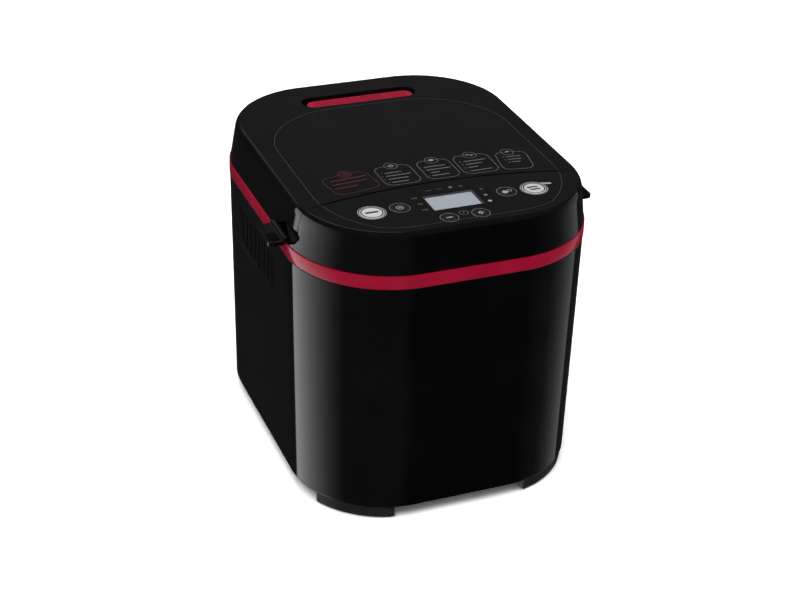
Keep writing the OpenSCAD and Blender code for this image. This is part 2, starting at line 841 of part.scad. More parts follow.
module temperature_sensor() {
    color(steel) translate([sensor_x, cham_y - cham_d / 2, sensor_z]) rotate([90, 0, 0]) {
        translate([0, 0, -14]) cylinder(r = 3, h = 30);
        translate([0, 0, cham_t + 0.02]) cylinder(r = 7, h = 2);
        translate([0, 0, 10]) cylinder(r = 4.5, h = 8);
    }
}

module pan_socket() {
    z = cham_z + cham_t;
    color(alloy) translate([0, cham_y, 0]) difference() {
        union() {
            translate([0, 0, z]) cylinder(r = socket_r + socket_t, h = socket_h);
            translate([0, 0, z]) cylinder(r = socket_r + 9, h = 1.6);
        }
        translate([0, 0, z + 1.6]) cylinder(r = socket_r, h = 30);
        translate([0, 0, z - 1]) cylinder(r = bush_r + 0.6, h = 30);
        for (a = [0, 90, 180, 270]) rotate([0, 0, a + 45]) translate([socket_r - 3, -5, z + 5]) cube([9, 10, 10]);
    }
}

// ---------- Drive ----------

module chassis_plate() {
    color(steel) difference() {
        union() {
            outline_slab(10, chassis_z, chassis_t);
            for (x = [-1, 1], y = [-1, 1]) translate([power_at[0] + x * 31, power_at[1] + y * 24, chassis_z + 1])
                cylinder(r = 3, h = power_z - chassis_z - 1);
        }
        translate([0, cham_y, chassis_z - 1]) cylinder(r = bush_r + 0.1, h = 5);
        translate([-motor_x, -motor_y, chassis_z - 1]) cylinder(r = 13, h = 5);
        for (p = column_at) translate([p[0], p[1], chassis_z - 1]) cylinder(r = 1.6, h = 5);
        for (a = motor_bolts) translate([-motor_x, -motor_y, chassis_z - 1]) rotate([0, 0, a])
            translate([bolt_r, 0, 0]) cylinder(r = 1.75, h = 5);
        for (a = bearing_bolts) translate([0, cham_y, chassis_z - 1]) rotate([0, 0, a])
            translate([bearing_r, 0, 0]) cylinder(r = 1.55, h = 5);
    }
}

module bearing_housing() {
    color(alloy) translate([0, cham_y, 0]) difference() {
        union() {
            translate([0, 0, bush_low]) cylinder(r = bush_r, h = bush_top - bush_low);
            translate([0, 0, chassis_z - bush_flange_t]) cylinder(r = bush_flange_r, h = bush_flange_t);
        }
        translate([0, 0, bush_low - 1]) cylinder(r = shaft_r + run_play, h = 60);
        for (a = bearing_bolts) rotate([0, 0, a]) translate([bearing_r, 0, chassis_z - 10])
            cylinder(r = 1.55, h = 20);
    }
}

module drive_shaft() {
    color(steel) translate([0, cham_y, shaft_low]) cylinder(r = shaft_r, h = coupler_z + coupler_t - shaft_low);
}

module toothed_wheel(r, hub_r, bore) {
    difference() {
        union() {
            for (s = [0, 1]) translate([0, 0, s * (pulley_h + pulley_flange)])
                cylinder(r = r + belt_t / 2 + 1, h = pulley_flange, $fn = 96);
            cylinder(r = r - belt_t / 2 - belt_play, h = pulley_h + 2 * pulley_flange, $fn = 96);
        }
        translate([0, 0, -1]) cylinder(r = bore, h = 40);
        if (r > 25) {
            for (s = [0, 1]) translate([0, 0, s == 0 ? -1 : 8]) difference() {
                cylinder(r = r - 4.5, h = s == 0 ? 6 : 12);
                translate([0, 0, -1]) cylinder(r = hub_r, h = 20);
            }
            for (a = [0:60:300]) rotate([0, 0, a]) translate([(r + hub_r) / 2 - 2, 0, -1])
                cylinder(r = 8, h = 20);
        }
    }
}

module large_pulley() {
    color([0.75, 0.74, 0.7]) translate([0, cham_y, pulley_z - pulley_h / 2 - pulley_flange])
        toothed_wheel(large_r, 9, shaft_r + 0.01);
}

module shaft_clips() {
    color(steel) translate([0, cham_y, 0]) for (z = [shaft_low + 1, bush_low - 1.3, bush_top + 0.1])
        translate([0, 0, z]) difference() {
            cylinder(r = shaft_r + 3, h = clip_t);
            translate([0, 0, -1]) cylinder(r = shaft_r + 0.01, h = 5);
            translate([0, -1.6, -1]) cube([10, 3.2, 5]);
        }
}

module drive_coupler() {
    color(steel) translate([0, cham_y, coupler_z]) difference() {
        union() {
            cylinder(r = dog_r, h = coupler_t);
            for (a = [0, 180]) rotate([0, 0, a]) translate([9, 4.1, coupler_t - 0.5]) cube([7, 6, dog_h]);
        }
        translate([0, 0, -1]) cylinder(r = shaft_r + 0.01, h = 30);
    }
}

module belt_loop(grow) {
    hull() {
        translate([0, cham_y]) circle(large_r + grow, $fn = 120);
        translate([-motor_x, -motor_y]) circle(small_r + grow, $fn = 60);
    }
}

module drive_belt() {
    color([0.05, 0.05, 0.05]) translate([0, 0, pulley_z - belt_w / 2]) linear_extrude(belt_w) difference() {
        belt_loop(belt_t / 2);
        belt_loop(-belt_t / 2);
    }
}

module motor_place() {
    translate([-motor_x, -motor_y, 0]) children();
}

module bolt_holes(z, h, r) {
    for (a = motor_bolts) rotate([0, 0, a]) translate([bolt_r, 0, z]) cylinder(r = r, h = h);
}

module motor_stator() {
    color([0.35, 0.35, 0.36]) motor_place() difference() {
        union() {
            translate([0, 0, motor_z]) cylinder(r = motor_r, h = motor_h);
            translate([0, 0, motor_z - 8]) cylinder(r = bell_cavity - 1.5, h = motor_h + 16);
        }
        translate([0, 0, motor_z - 20]) cylinder(r = rotor_r + 0.4, h = 100);
        bolt_holes(motor_z - 20, 100, 1.75);
    }
}

module motor_bells() {
    r = motor_r - 1.5;
    color(alloy) motor_place() for (s = [0, 1])
        translate([0, 0, motor_z + motor_h / 2]) mirror([0, 0, s]) translate([0, 0, -motor_z - motor_h / 2])
            difference() {
                translate([0, 0, motor_z - bell_h]) cylinder(r = r, h = bell_h);
                translate([0, 0, motor_z - bell_h + 6]) cylinder(r = bell_cavity, h = 30);
                translate([0, 0, motor_z - bell_h - 1]) cylinder(r = motor_shaft_r + run_play, h = 30);
                bolt_holes(motor_z - bell_h - 1, 60, 1.75);
                for (a = [45:90:315]) rotate([0, 0, a]) translate([bell_cavity - 3, -7, motor_z - 6])
                    cube([20, 14, 4]);
            }
}

module motor_rotor() {
    color(steel) motor_place() {
        translate([0, 0, motor_z]) cylinder(r = rotor_r, h = motor_h);
        translate([0, 0, shaft_low]) cylinder(r = motor_shaft_r, h = motor_z + motor_h + bell_h - 1 - shaft_low);
        translate([0, 0, motor_z + motor_h]) cylinder(r = 13, h = 6);
    }
}

module motor_pulley() {
    color([0.75, 0.74, 0.7]) motor_place() {
        translate([0, 0, pulley_z - pulley_h / 2 - pulley_flange])
            toothed_wheel(small_r, 5, motor_shaft_r + 0.01);
        translate([0, 0, pulley_z + pulley_h / 2 + pulley_flange]) difference() {
            cylinder(r = 6, h = 5);
            translate([0, 0, -1]) cylinder(r = motor_shaft_r + 0.01, h = 10);
        }
    }
}

module motor_screws() {
    color(steel) motor_place() for (a = motor_bolts) rotate([0, 0, a]) translate([bolt_r, 0, chassis_z])
        screw(1.7, 3.2, 2 * bell_h + motor_h + chassis_t + 3);
}

module power_board() {
    color([0.05, 0.28, 0.16]) translate([power_at[0], power_at[1], power_z]) linear_extrude(board_t)
        square([70, 56], center = true);
}

module power_parts() {
    color([0.1, 0.1, 0.12]) translate([power_at[0], power_at[1], power_z + board_t]) {
        translate([-32, -24, 0]) cube([34, 28, 26]);
        translate([10, -22, 0]) cube([20, 15, 17]);
        translate([12, 0, 0]) cylinder(r = 8, h = 30);
        translate([26, 14, 0]) cylinder(r = 5, h = 16);
        translate([-30, 12, 0]) cube([26, 10, 9]);
        translate([-28, 8, 0]) cube([22, 2, 24]);
    }
}

module cord_gland() {
    color([0.1, 0.1, 0.1]) translate([gland_x, body_d / 2 - band_proud - 0.4, gland_z]) rotate([90, 0, 0])
        difference() {
            union() {
                translate([0, 0, -0.9]) cylinder(r = 10, h = 0.9);
                cylinder(r = gland_r, h = 12);
                translate([0, 0, 4]) cylinder(r = 9.5, h = 4);
            }
            translate([0, 0, -2]) cylinder(r = 3.4, h = 20);
        }
}

// ---------- Pan ----------

module pan_slab(inset, z, h) {
    slab(pan_w - 2 * inset, pan_d - 2 * inset, pan_r - inset, z, h);
}

module bread_pan() {
    color([0.13, 0.13, 0.14]) translate([0, cham_y, 0]) difference() {
        union() {
            hull() {
                pan_slab(pan_taper, pan_z, 0.5);
                pan_slab(0, pan_top - 0.5, 0.5);
            }
            pan_slab(-rim_out, pan_top - 1.6, 1.6);
            for (s = [-1, 1]) translate([s * (pan_w / 2 + 1), 0, 0]) {
                translate([-3.5, -12, bail_pivot - 12]) cube([7, 24, 20 - 1]);
                for (k = [-1, 1]) translate([s * 5, k * 9.5, bail_pivot - bail_d / 2 - 1.7])
                    cube([9, 5, 3], center = true);
            }
        }
        hull() {
            pan_slab(pan_taper + pan_t, pan_z + pan_t, 0.5);
            pan_slab(pan_t, pan_top + 1, 0.5);
        }
        translate([0, 0, pan_z - 1]) cylinder(r = 7.02, h = 5);
        translate([0, 0, bail_pivot]) rotate([0, 90, 0]) {
            for (s = [-1, 1]) translate([0, 0, s * 90]) cylinder(r = bail_d / 2 + run_play, h = 13, center = true);
        }
    }
}

module pan_skirt() {
    color([0.13, 0.13, 0.14]) translate([0, cham_y, 0]) difference() {
        translate([0, 0, cham_z + cham_t + 1.65]) cylinder(r = skirt_r, h = pan_z - cham_z - cham_t - 1.65);
        translate([0, 0, cham_z]) cylinder(r = skirt_r - pan_skirt_t, h = 40);
    }
}

module pan_bush() {
    color(alloy) translate([0, cham_y, 0]) difference() {
        union() {
            translate([0, 0, pan_z - 3]) cylinder(r = 12, h = 3);
            translate([0, 0, pan_z - 5]) cylinder(r = 7, h = 9);
            translate([0, 0, pan_z + pan_t + 0.02]) cylinder(r = 9.5, h = 2.4);
        }
        translate([0, 0, pan_z - 10]) cylinder(r = shaft_r + run_play, h = 30);
    }
}

module pan_bail() {
    r = bail_d / 2;
    b = bail_bend;
    color(steel) translate([0, cham_y, bail_pivot]) {
        for (m = [0, 1]) mirror([m, 0, 0]) {
            rod([bail_side, 0, 0], [bail_side, -bail_reach + b, 0], r);
            rod([bail_side - 5.6, 0, 0], [bail_side, 0, 0], r);
            translate([bail_side, 0, 0]) sphere(r = r);
            translate([bail_side - b, -bail_reach + b, 0]) rotate([0, 0, -90]) rotate_extrude(angle = 90)
                translate([b, 0]) circle(r);
        }
        rod([-bail_side + b, -bail_reach, 0], [bail_side - b, -bail_reach, 0], r);
    }
}

module pan_shaft() {
    color(steel) translate([0, cham_y, 0]) difference() {
        translate([0, 0, coupler_z + 4.5]) cylinder(r = shaft_r, h = 40.6);
        translate([shaft_r - 1, -10, pan_z + pan_t + 2.6]) cube([10, 20, 60]);
    }
}

module pan_coupler() {
    color(steel) translate([0, cham_y, coupler_z + 4.5]) difference() {
        union() {
            translate([-17, -4, 0]) cube([34, 8, 5]);
            cylinder(r = 8, h = 5);
        }
        translate([0, 0, -1]) cylinder(r = shaft_r + 0.01, h = 10);
    }
}

module kneading_paddle() {
    z = pan_z + pan_t + 2.8;
    color([0.16, 0.16, 0.17]) translate([0, cham_y, z]) difference() {
        union() {
            cylinder(r = 9, h = 27);
            rotate([90, 0, 0]) translate([0, 0, -2.5]) linear_extrude(5) polygon([
                [5, 1], [44, 1], [47, 5], [45, 12], [30, 26], [18, 33], [5, 27]
            ]);
        }
        difference() {
            translate([0, 0, -1]) cylinder(r = shaft_r + 0.03, h = 26);
            translate([shaft_r - 0.97, -10, -2]) cube([10, 20, 60]);
        }
    }
}

base_plate();
feet();
foot_pads();
body_shell();
front_panel();
trim_band();
deck_frame();
control_housing();
control_plate();
display_lens();
lcd_module();
control_board();
menu_button();
loaf_button();
minus_button();
plus_button();
crust_button();
start_button();
lid_shell();
lid_plate();
vent_insert();
lid_liner();
lid_seal();
lid_grips();
lid_screws();
hinge_pins();
chamber();
heating_element();
heater_clips();
temperature_sensor();
pan_socket();
chassis_plate();
bearing_housing();
drive_shaft();
large_pulley();
shaft_clips();
drive_coupler();
drive_belt();
motor_stator();
motor_bells();
motor_rotor();
motor_pulley();
motor_screws();
power_board();
power_parts();
cord_gland();
base_screws();
bread_pan();
pan_skirt();
pan_bush();
pan_bail();
pan_shaft();
pan_coupler();
kneading_paddle();
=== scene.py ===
"""Bread machine: the dressed model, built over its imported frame.

Lengths in the classes are in millimetres and become metres when a mesh is finished. +Z is up and
the machine's front looks towards -Y. Every piece rides one of the frame's bodies.
"""

import json
import logging
import math
from dataclasses import dataclass, field
from enum import Enum
from typing import Any, Callable, Dict, List, Optional, Sequence, Tuple

import bmesh
import bpy
from mathutils import Matrix, Vector

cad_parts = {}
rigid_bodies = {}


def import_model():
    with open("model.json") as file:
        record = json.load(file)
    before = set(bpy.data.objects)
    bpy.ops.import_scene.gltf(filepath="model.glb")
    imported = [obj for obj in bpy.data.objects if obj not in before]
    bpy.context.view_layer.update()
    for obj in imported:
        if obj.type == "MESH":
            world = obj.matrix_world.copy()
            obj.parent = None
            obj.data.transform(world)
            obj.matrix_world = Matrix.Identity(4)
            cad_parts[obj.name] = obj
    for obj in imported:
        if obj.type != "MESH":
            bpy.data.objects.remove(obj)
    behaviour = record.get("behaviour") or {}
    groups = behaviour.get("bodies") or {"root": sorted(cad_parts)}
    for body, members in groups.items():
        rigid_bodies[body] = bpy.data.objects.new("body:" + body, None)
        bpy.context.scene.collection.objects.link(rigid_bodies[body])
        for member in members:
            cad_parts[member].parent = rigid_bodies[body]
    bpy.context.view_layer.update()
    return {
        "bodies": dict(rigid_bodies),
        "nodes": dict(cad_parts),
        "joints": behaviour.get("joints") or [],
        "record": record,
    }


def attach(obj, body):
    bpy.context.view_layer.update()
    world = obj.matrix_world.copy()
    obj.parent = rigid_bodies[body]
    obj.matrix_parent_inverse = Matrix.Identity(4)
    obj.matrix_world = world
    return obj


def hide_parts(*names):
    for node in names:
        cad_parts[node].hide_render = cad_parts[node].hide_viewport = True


LOG = logging.getLogger("bread_machine")
MM = 0.001
Colour = Tuple[float, float, float]
Point2 = Tuple[float, float]
Point3 = Tuple[float, float, float]
Level = Tuple[float, float, float, float]


class Body(Enum):
    """The frame's bodies that new pieces ride on."""

    BASE = "base"
    LID = "lid"
    MENU = "menu_key"
    LOAF = "loaf_key"
    MINUS = "minus_key"
    PLUS = "plus_key"
    CRUST = "crust_key"
    START = "start_key"


class Cut(Enum):
    """How a tool mesh acts on a piece."""

    TAKE_AWAY = "DIFFERENCE"
    KEEP_COMMON = "INTERSECT"
    ADD = "UNION"


# ---------------------------------------------------------------- finishes


class NodeSheet:
    """A small helper that writes a material's node tree."""

    def __init__(self, name: str) -> None:
        """Starts an empty material.

        Args:
            name: The material's name.
        """
        self.material = bpy.data.materials.new(name)
        self.material.use_nodes = True
        self.tree = self.material.node_tree
        self.tree.nodes.clear()
        self.output = self.add("ShaderNodeOutputMaterial")

    def add(self, kind: str, **values: Any) -> bpy.types.Node:
        """Adds a node and sets its properties or input sockets.

        Args:
            kind: The node's type name.
            **values: Properties by name, or inputs by socket name with spaces as underscores.

        Returns:
            The new node.
        """
        node = self.tree.nodes.new(kind)
        for key, value in values.items():
            label = key.replace("_", " ")
            sockets = {s.name.lower(): s for s in node.inputs}
            if label.lower() in sockets:
                sockets[label.lower()].default_value = value
            else:
                setattr(node, key, value)
        return node

    def join(self, source: bpy.types.NodeSocket, target: bpy.types.NodeSocket) -> None:
        """Links two sockets."""
        self.tree.links.new(source, target)

    def place(self, stretch: Point3 = (1.0, 1.0, 1.0)) -> bpy.types.NodeSocket:
        """Gives Object coordinates, stretched.

        Args:
            stretch: Scale along each axis.

        Returns:
            The vector output.
        """
        where = self.add("ShaderNodeTexCoord")
        mapping = self.add("ShaderNodeMapping")
        mapping.inputs["Scale"].default_value = stretch
        self.join(where.outputs["Object"], mapping.inputs["Vector"])
        return mapping.outputs["Vector"]

    def noise(self, scale: float, detail: float = 3.0,
              stretch: Point3 = (1.0, 1.0, 1.0)) -> bpy.types.NodeSocket:
        """A noise pattern's grey value at the given scale.

        Args:
            scale: Features per metre, roughly.
            detail: Octaves.
            stretch: Extra scale along each axis.

        Returns:
            The factor output.
        """
        tex = self.add("ShaderNodeTexNoise", Scale=scale, Detail=detail, Roughness=0.55)
        self.join(self.place(stretch), tex.inputs["Vector"])
        return tex.outputs["Fac"]

    def span(self, value: bpy.types.NodeSocket, low: float, high: float,
             start: float = 0.3, end: float = 0.7) -> bpy.types.NodeSocket:
        """Maps a grey value from [start, end] to [low, high].

        Args:
            value: The grey value.
            low: Result at start.
            high: Result at end.
            start: Lower input.
            end: Upper input.

        Returns:
            The mapped value.
        """
        node = self.add("ShaderNodeMapRange")
        for key, number in (("From Min", start), ("From Max", end), ("To Min", low), ("To Max", high)):
            node.inputs[key].default_value = number
        self.join(value, node.inputs["Value"])
        return node.outputs["Result"]

    def tint(self, value: bpy.types.NodeSocket, a: Colour, b: Colour,
             start: float = 0.35, end: float = 0.65) -> bpy.types.NodeSocket:
        """Blends two colours by a grey value.

        Args:
            value: The grey value.
            a: Colour at start.
            b: Colour at end.
            start: Lower position.
            end: Upper position.

        Returns:
            The colour output.
        """
        ramp = self.add("ShaderNodeValToRGB")
        ramp.color_ramp.elements[0].position = start
        ramp.color_ramp.elements[0].color = (*a, 1.0)
        ramp.color_ramp.elements[1].position = end
        ramp.color_ramp.elements[1].color = (*b, 1.0)
        self.join(value, ramp.inputs["Fac"])
        return ramp.outputs["Color"]

    def relief(self, value: bpy.types.NodeSocket, strength: float, depth: float,
               below: Optional[bpy.types.NodeSocket] = None) -> bpy.types.NodeSocket:
        """Turns a grey value into surface relief.

        Args:
            value: Height.
            strength: Strength of the bump.
            depth: Height in metres.
            below: A normal to add this one to.

        Returns:
            The normal output.
        """
        bump = self.add("ShaderNodeBump")
        bump.inputs["Strength"].default_value = strength
        bump.inputs["Distance"].default_value = depth
        self.join(value, bump.inputs["Height"])
        if below is not None:
            self.join(below, bump.inputs["Normal"])
        return bump.outputs["Normal"]


@dataclass(frozen=True)
class Finish:
    """Base of every finish: makes its material once and hands it out again."""

    name: str

    def draw(self, sheet: NodeSheet) -> bpy.types.Node:
        """Draws the shader; each finish has its own.

        Args:
            sheet: The material's node sheet.

        Returns:
            The shader node that goes to the output.
        """
        raise NotImplementedError

    def material(self) -> bpy.types.Material:
        """Gives the finish's material, made on first use.

        Returns:
            The material.
        """
        found = bpy.data.materials.get(self.name)
        if found is not None:
            return found
        sheet = NodeSheet(self.name)
        shader = self.draw(sheet)
        sheet.join(shader.outputs[0], sheet.output.inputs["Surface"])
        return sheet.material


@dataclass(frozen=True)
class MouldedGloss(Finish):
    """Polished moulded plastic with a faint orange-peel surface and uneven polish."""

    dark: Colour = (0.0016, 0.0016, 0.0018)
    light: Colour = (0.0030, 0.0030, 0.0032)
    rough: Tuple[float, float] = (0.06, 0.10)
    peel: float = 0.00002
    specular: float = 0.5

    def draw(self, sheet: NodeSheet) -> bpy.types.Node:
        """Draws the polished plastic.

        Args:
            sheet: The material's node sheet.

        Returns:
            The shader node.
        """
        shader = sheet.add("ShaderNodeBsdfPrincipled", IOR=1.5)
        shader.inputs["Specular IOR Level"].default_value = self.specular
        cloud = sheet.noise(26.0, 4.0)
        sheet.join(sheet.tint(cloud, self.dark, self.light), shader.inputs["Base Color"])
        smear = sheet.noise(60.0, 5.0, (1.0, 1.0, 0.25))
        sheet.join(sheet.span(smear, self.rough[0], self.rough[1]), shader.inputs["Roughness"])
        peel = sheet.noise(420.0, 2.0)
        sheet.join(sheet.relief(peel, 0.12, self.peel), shader.inputs["Normal"])
        return shader


@dataclass(frozen=True)
class GrainedPlastic(Finish):
    """Matt plastic with a fine spark-eroded grain."""

    dark: Colour = (0.012, 0.012, 0.013)
    light: Colour = (0.022, 0.022, 0.023)
    rough: Tuple[float, float] = (0.48, 0.62)
    grain: float = 2600.0

    def draw(self, sheet: NodeSheet) -> bpy.types.Node:
        """Draws the grained plastic.

        Args:
            sheet: The material's node sheet.

        Returns:
            The shader node.
        """
        shader = sheet.add("ShaderNodeBsdfPrincipled", IOR=1.46)
        sheet.join(sheet.tint(sheet.noise(70.0, 4.0), self.dark, self.light), shader.inputs["Base Color"])
        fine = sheet.noise(self.grain, 2.0)
        sheet.join(sheet.span(sheet.noise(240.0), self.rough[0], self.rough[1]), shader.inputs["Roughness"])
        sheet.join(sheet.relief(fine, 0.35, 0.00006), shader.inputs["Normal"])
        return shader


@dataclass(frozen=True)
class SoftRubber(Finish):
    """Rubber with a powdery bloom."""

    dark: Colour = (0.014, 0.014, 0.014)
    light: Colour = (0.035, 0.035, 0.034)

    def draw(self, sheet: NodeSheet) -> bpy.types.Node:
        """Draws the rubber.

        Args:
            sheet: The material's node sheet.

        Returns:
            The shader node.
        """
        shader = sheet.add("ShaderNodeBsdfPrincipled", IOR=1.45)
        shader.inputs["Sheen Weight"].default_value = 0.15
        sheet.join(sheet.tint(sheet.noise(150.0, 5.0), self.dark, self.light), shader.inputs["Base Color"])
        sheet.join(sheet.span(sheet.noise(90.0), 0.6, 0.82), shader.inputs["Roughness"])
        sheet.join(sheet.relief(sheet.noise(1500.0), 0.3, 0.00005), shader.inputs["Normal"])
        return shader


@dataclass(frozen=True)
class WorkedMetal(Finish):
    """Metal with drawn or turned lines and a little tarnish."""

    base: Colour = (0.62, 0.62, 0.63)
    tarnish: Colour = (0.45, 0.45, 0.46)
    rough: Tuple[float, float] = (0.22, 0.4)
    lines: Point3 = (1.0, 1.0, 30.0)
    line_depth: float = 0.00003

    def draw(self, sheet: NodeSheet) -> bpy.types.Node:
        """Draws the metal.

        Args:
            sheet: The material's node sheet.

        Returns:
            The shader node.
        """
        shader = sheet.add("ShaderNodeBsdfPrincipled", Metallic=1.0)
        stain = sheet.tint(sheet.noise(35.0, 5.0), self.tarnish, self.base, 0.3, 0.62)
        sheet.join(stain, shader.inputs["Base Color"])
        lines = sheet.noise(120.0, 4.0, self.lines)
        sheet.join(sheet.span(lines, self.rough[0], self.rough[1]), shader.inputs["Roughness"])
        sheet.join(sheet.relief(lines, 0.3, self.line_depth), shader.inputs["Normal"])
        return shader


@dataclass(frozen=True)
class NonStick(Finish):
    """Dark sintered coating with fine light specks."""

    ground: Colour = (0.022, 0.022, 0.024)
    speck: Colour = (0.12, 0.12, 0.125)

    def draw(self, sheet: NodeSheet) -> bpy.types.Node:
        """Draws the coating.

        Args:
            sheet: The material's node sheet.

        Returns:
            The shader node.
        """
        shader = sheet.add("ShaderNodeBsdfPrincipled", IOR=1.5)
        cells = sheet.add("ShaderNodeTexVoronoi", Scale=620.0)
        sheet.join(sheet.place(), cells.inputs["Vector"])
        sheet.join(sheet.tint(cells.outputs["Distance"], self.speck, self.ground, 0.05, 0.16),
                   shader.inputs["Base Color"])
        sheet.join(sheet.span(sheet.noise(50.0, 4.0), 0.26, 0.42), shader.inputs["Roughness"])
        sheet.join(sheet.relief(sheet.noise(700.0, 3.0), 0.3, 0.00005), shader.inputs["Normal"])
        return shader


@dataclass(frozen=True)
class SatinPaint(Finish):
    """Metallic satin paint with fine flakes."""

    base: Colour = (0.5, 0.5, 0.51)
    flake: Colour = (0.66, 0.66, 0.67)
    rough: Tuple[float, float] = (0.3, 0.42)
    metallic: float = 0.25

    def draw(self, sheet: NodeSheet) -> bpy.types.Node:
        """Draws the paint.

        Args:
            sheet: The material's node sheet.

        Returns:
            The shader node.
        """
        shader = sheet.add("ShaderNodeBsdfPrincipled", IOR=1.5, Metallic=self.metallic)
        flakes = sheet.noise(3200.0, 2.0)
        sheet.join(sheet.tint(flakes, self.base, self.flake, 0.4, 0.62), shader.inputs["Base Color"])
        sheet.join(sheet.span(sheet.noise(110.0), self.rough[0], self.rough[1]), shader.inputs["Roughness"])
        sheet.join(sheet.relief(flakes, 0.15, 0.00002), shader.inputs["Normal"])
        return shader


@dataclass(frozen=True)
class CircuitLaminate(Finish):
    """Solder-masked laminate with the shadows of copper runs."""

    mask: Colour = (0.012, 0.09, 0.04)
    copper: Colour = (0.03, 0.17, 0.07)

    def draw(self, sheet: NodeSheet) -> bpy.types.Node:
        """Draws the laminate.

        Args:
            sheet: The material's node sheet.

        Returns:
            The shader node.
        """
        shader = sheet.add("ShaderNodeBsdfPrincipled", IOR=1.5)
        runs = sheet.add("ShaderNodeTexBrick", Scale=180.0, Mortar_Size=0.12)
        runs.inputs["Color1"].default_value = (*self.mask, 1.0)
        runs.inputs["Color2"].default_value = (self.mask[0], self.mask[1] * 1.2, self.mask[2], 1.0)
        runs.inputs["Mortar"].default_value = (*self.copper, 1.0)
        sheet.join(sheet.place(), runs.inputs["Vector"])
        sheet.join(runs.outputs["Color"], shader.inputs["Base Color"])
        sheet.join(sheet.span(sheet.noise(80.0), 0.25, 0.4), shader.inputs["Roughness"])
        sheet.join(sheet.relief(runs.outputs["Fac"], 0.3, 0.00004), shader.inputs["Normal"])
        return shader


@dataclass(frozen=True)
class PrintInk(Finish):
    """Screen-printed ink with slightly uneven cover."""

    ink: Colour = (0.4, 0.4, 0.41)

    def draw(self, sheet: NodeSheet) -> bpy.types.Node:
        """Draws the ink.

        Args:
            sheet: The material's node sheet.

        Returns:
            The shader node.
        """
        shader = sheet.add("ShaderNodeBsdfPrincipled", IOR=1.45)
        thin = tuple(0.72 * c for c in self.ink)
        sheet.join(sheet.tint(sheet.noise(900.0, 3.0), thin, self.ink, 0.3, 0.6), shader.inputs["Base Color"])
        sheet.join(sheet.span(sheet.noise(300.0), 0.35, 0.5), shader.inputs["Roughness"])
        return shader


@dataclass(frozen=True)
class DisplayPanel(Finish):
    """Liquid crystal panel behind its cover: a pale blue-grey ground with a faint cell grid."""

    ground: Colour = (0.36, 0.40, 0.43)
    grid: Colour = (0.32, 0.36, 0.39)

    def draw(self, sheet: NodeSheet) -> bpy.types.Node:
        """Draws the panel.

        Args:
            sheet: The material's node sheet.

        Returns:
            The shader node.
        """
        shader = sheet.add("ShaderNodeBsdfPrincipled", IOR=1.5, Roughness=0.22)
        shader.inputs["Coat Weight"].default_value = 0.6
        shader.inputs["Coat Roughness"].default_value = 0.06
        cells = sheet.add("ShaderNodeTexBrick", Scale=900.0, Mortar_Size=0.03)
        cells.inputs["Color1"].default_value = (*self.ground, 1.0)
        cells.inputs["Color2"].default_value = (*self.ground, 1.0)
        cells.inputs["Mortar"].default_value = (*self.grid, 1.0)
        sheet.join(sheet.place(), cells.inputs["Vector"])
        sheet.join(cells.outputs["Color"], shader.inputs["Base Color"])
        return shader


BLACK = MouldedGloss("polished_black")
COVER = MouldedGloss("cover_plate_black", (0.0022, 0.0022, 0.0024), (0.0034, 0.0034, 0.0037), (0.04, 0.07))
RED = MouldedGloss("polished_red", (0.32, 0.003, 0.027), (0.40, 0.004, 0.034), (0.12, 0.18))
STRIP_RED = MouldedGloss("vent_red", (0.30, 0.006, 0.026), (0.38, 0.008, 0.033), (0.22, 0.30))
GRAIN = GrainedPlastic("grained_black")
NYLON = GrainedPlastic("natural_nylon", (0.55, 0.54, 0.49), (0.66, 0.65, 0.6), (0.4, 0.55))
HOUSED = GrainedPlastic("component_black", (0.02, 0.02, 0.022), (0.045, 0.045, 0.05))
RUBBER = SoftRubber("pad_rubber")
SILICONE = SoftRubber("seal_silicone", (0.05, 0.05, 0.05), (0.085, 0.085, 0.085))
STEEL = WorkedMetal("turned_steel")
SHEET = WorkedMetal("galvanised_sheet", (0.56, 0.57, 0.58), (0.36, 0.37, 0.38), (0.3, 0.5),
                    (1.0, 1.0, 1.0))
ALLOY = WorkedMetal("cast_alloy", (0.74, 0.75, 0.76), (0.6, 0.61, 0.62), (0.34, 0.5),
                    (1.0, 1.0, 1.0))
SHEATH = WorkedMetal("heater_sheath", (0.2, 0.18, 0.16), (0.09, 0.08, 0.075), (0.38, 0.55),
                     (1.0, 1.0, 1.0))
LAMINATED = WorkedMetal("laminated_iron", (0.14, 0.14, 0.15), (0.07, 0.07, 0.075), (0.4, 0.6),
                        (1.0, 1.0, 60.0))
COATING = NonStick("non_stick_coating")
SILVER = SatinPaint("key_silver", (0.33, 0.33, 0.335), (0.42, 0.42, 0.425), (0.3, 0.4), 0.3)
SLATE = SatinPaint("key_slate", (0.004, 0.004, 0.0044), (0.008, 0.008, 0.0086), (0.22, 0.32), 0.0)
CIRCUIT = CircuitLaminate("circuit_laminate")
LCD = DisplayPanel("display_panel")
INK_GREY = PrintInk("ink_grey", (0.14, 0.14, 0.145))
INK_PALE = PrintInk("ink_pale", (0.33, 0.33, 0.34))
# Dim ink for the faint panel marks; the same finish also paints a highlight line along the cover plates'
# edge.
DIM_INK_AND_PAINTED_EDGE_HIGHLIGHT = PrintInk("dim_ink_and_painted_edge_highlight", (0.045, 0.045, 0.047))
INK_RED = PrintInk("ink_red", (0.10, 0.018, 0.024))
INK_BLACK = PrintInk("ink_black", (0.01, 0.01, 0.01))

SLOT_FINISH: Dict[str, Finish] = {
    "black_gloss": BLACK, "black_panel": COVER, "red_gloss": RED, "black_matte": GRAIN,
    "key_silver": SILVER, "key_dark": SLATE, "display": LCD, "lcd": LCD, "circuit": CIRCUIT,
    "component": HOUSED, "steel": STEEL, "sheet_steel": SHEET, "alloy": ALLOY, "nonstick": COATING,
    "heater_sheath": SHEATH, "laminations": LAMINATED, "nylon": NYLON, "rubber": RUBBER,
    "silicone": SILICONE,
}


# ---------------------------------------------------------------- mesh making


def whole(bm: bmesh.types.BMesh) -> List[Any]:
    """All vertices, edges and faces of a mesh."""
    return bm.verts[:] + bm.edges[:] + bm.faces[:]


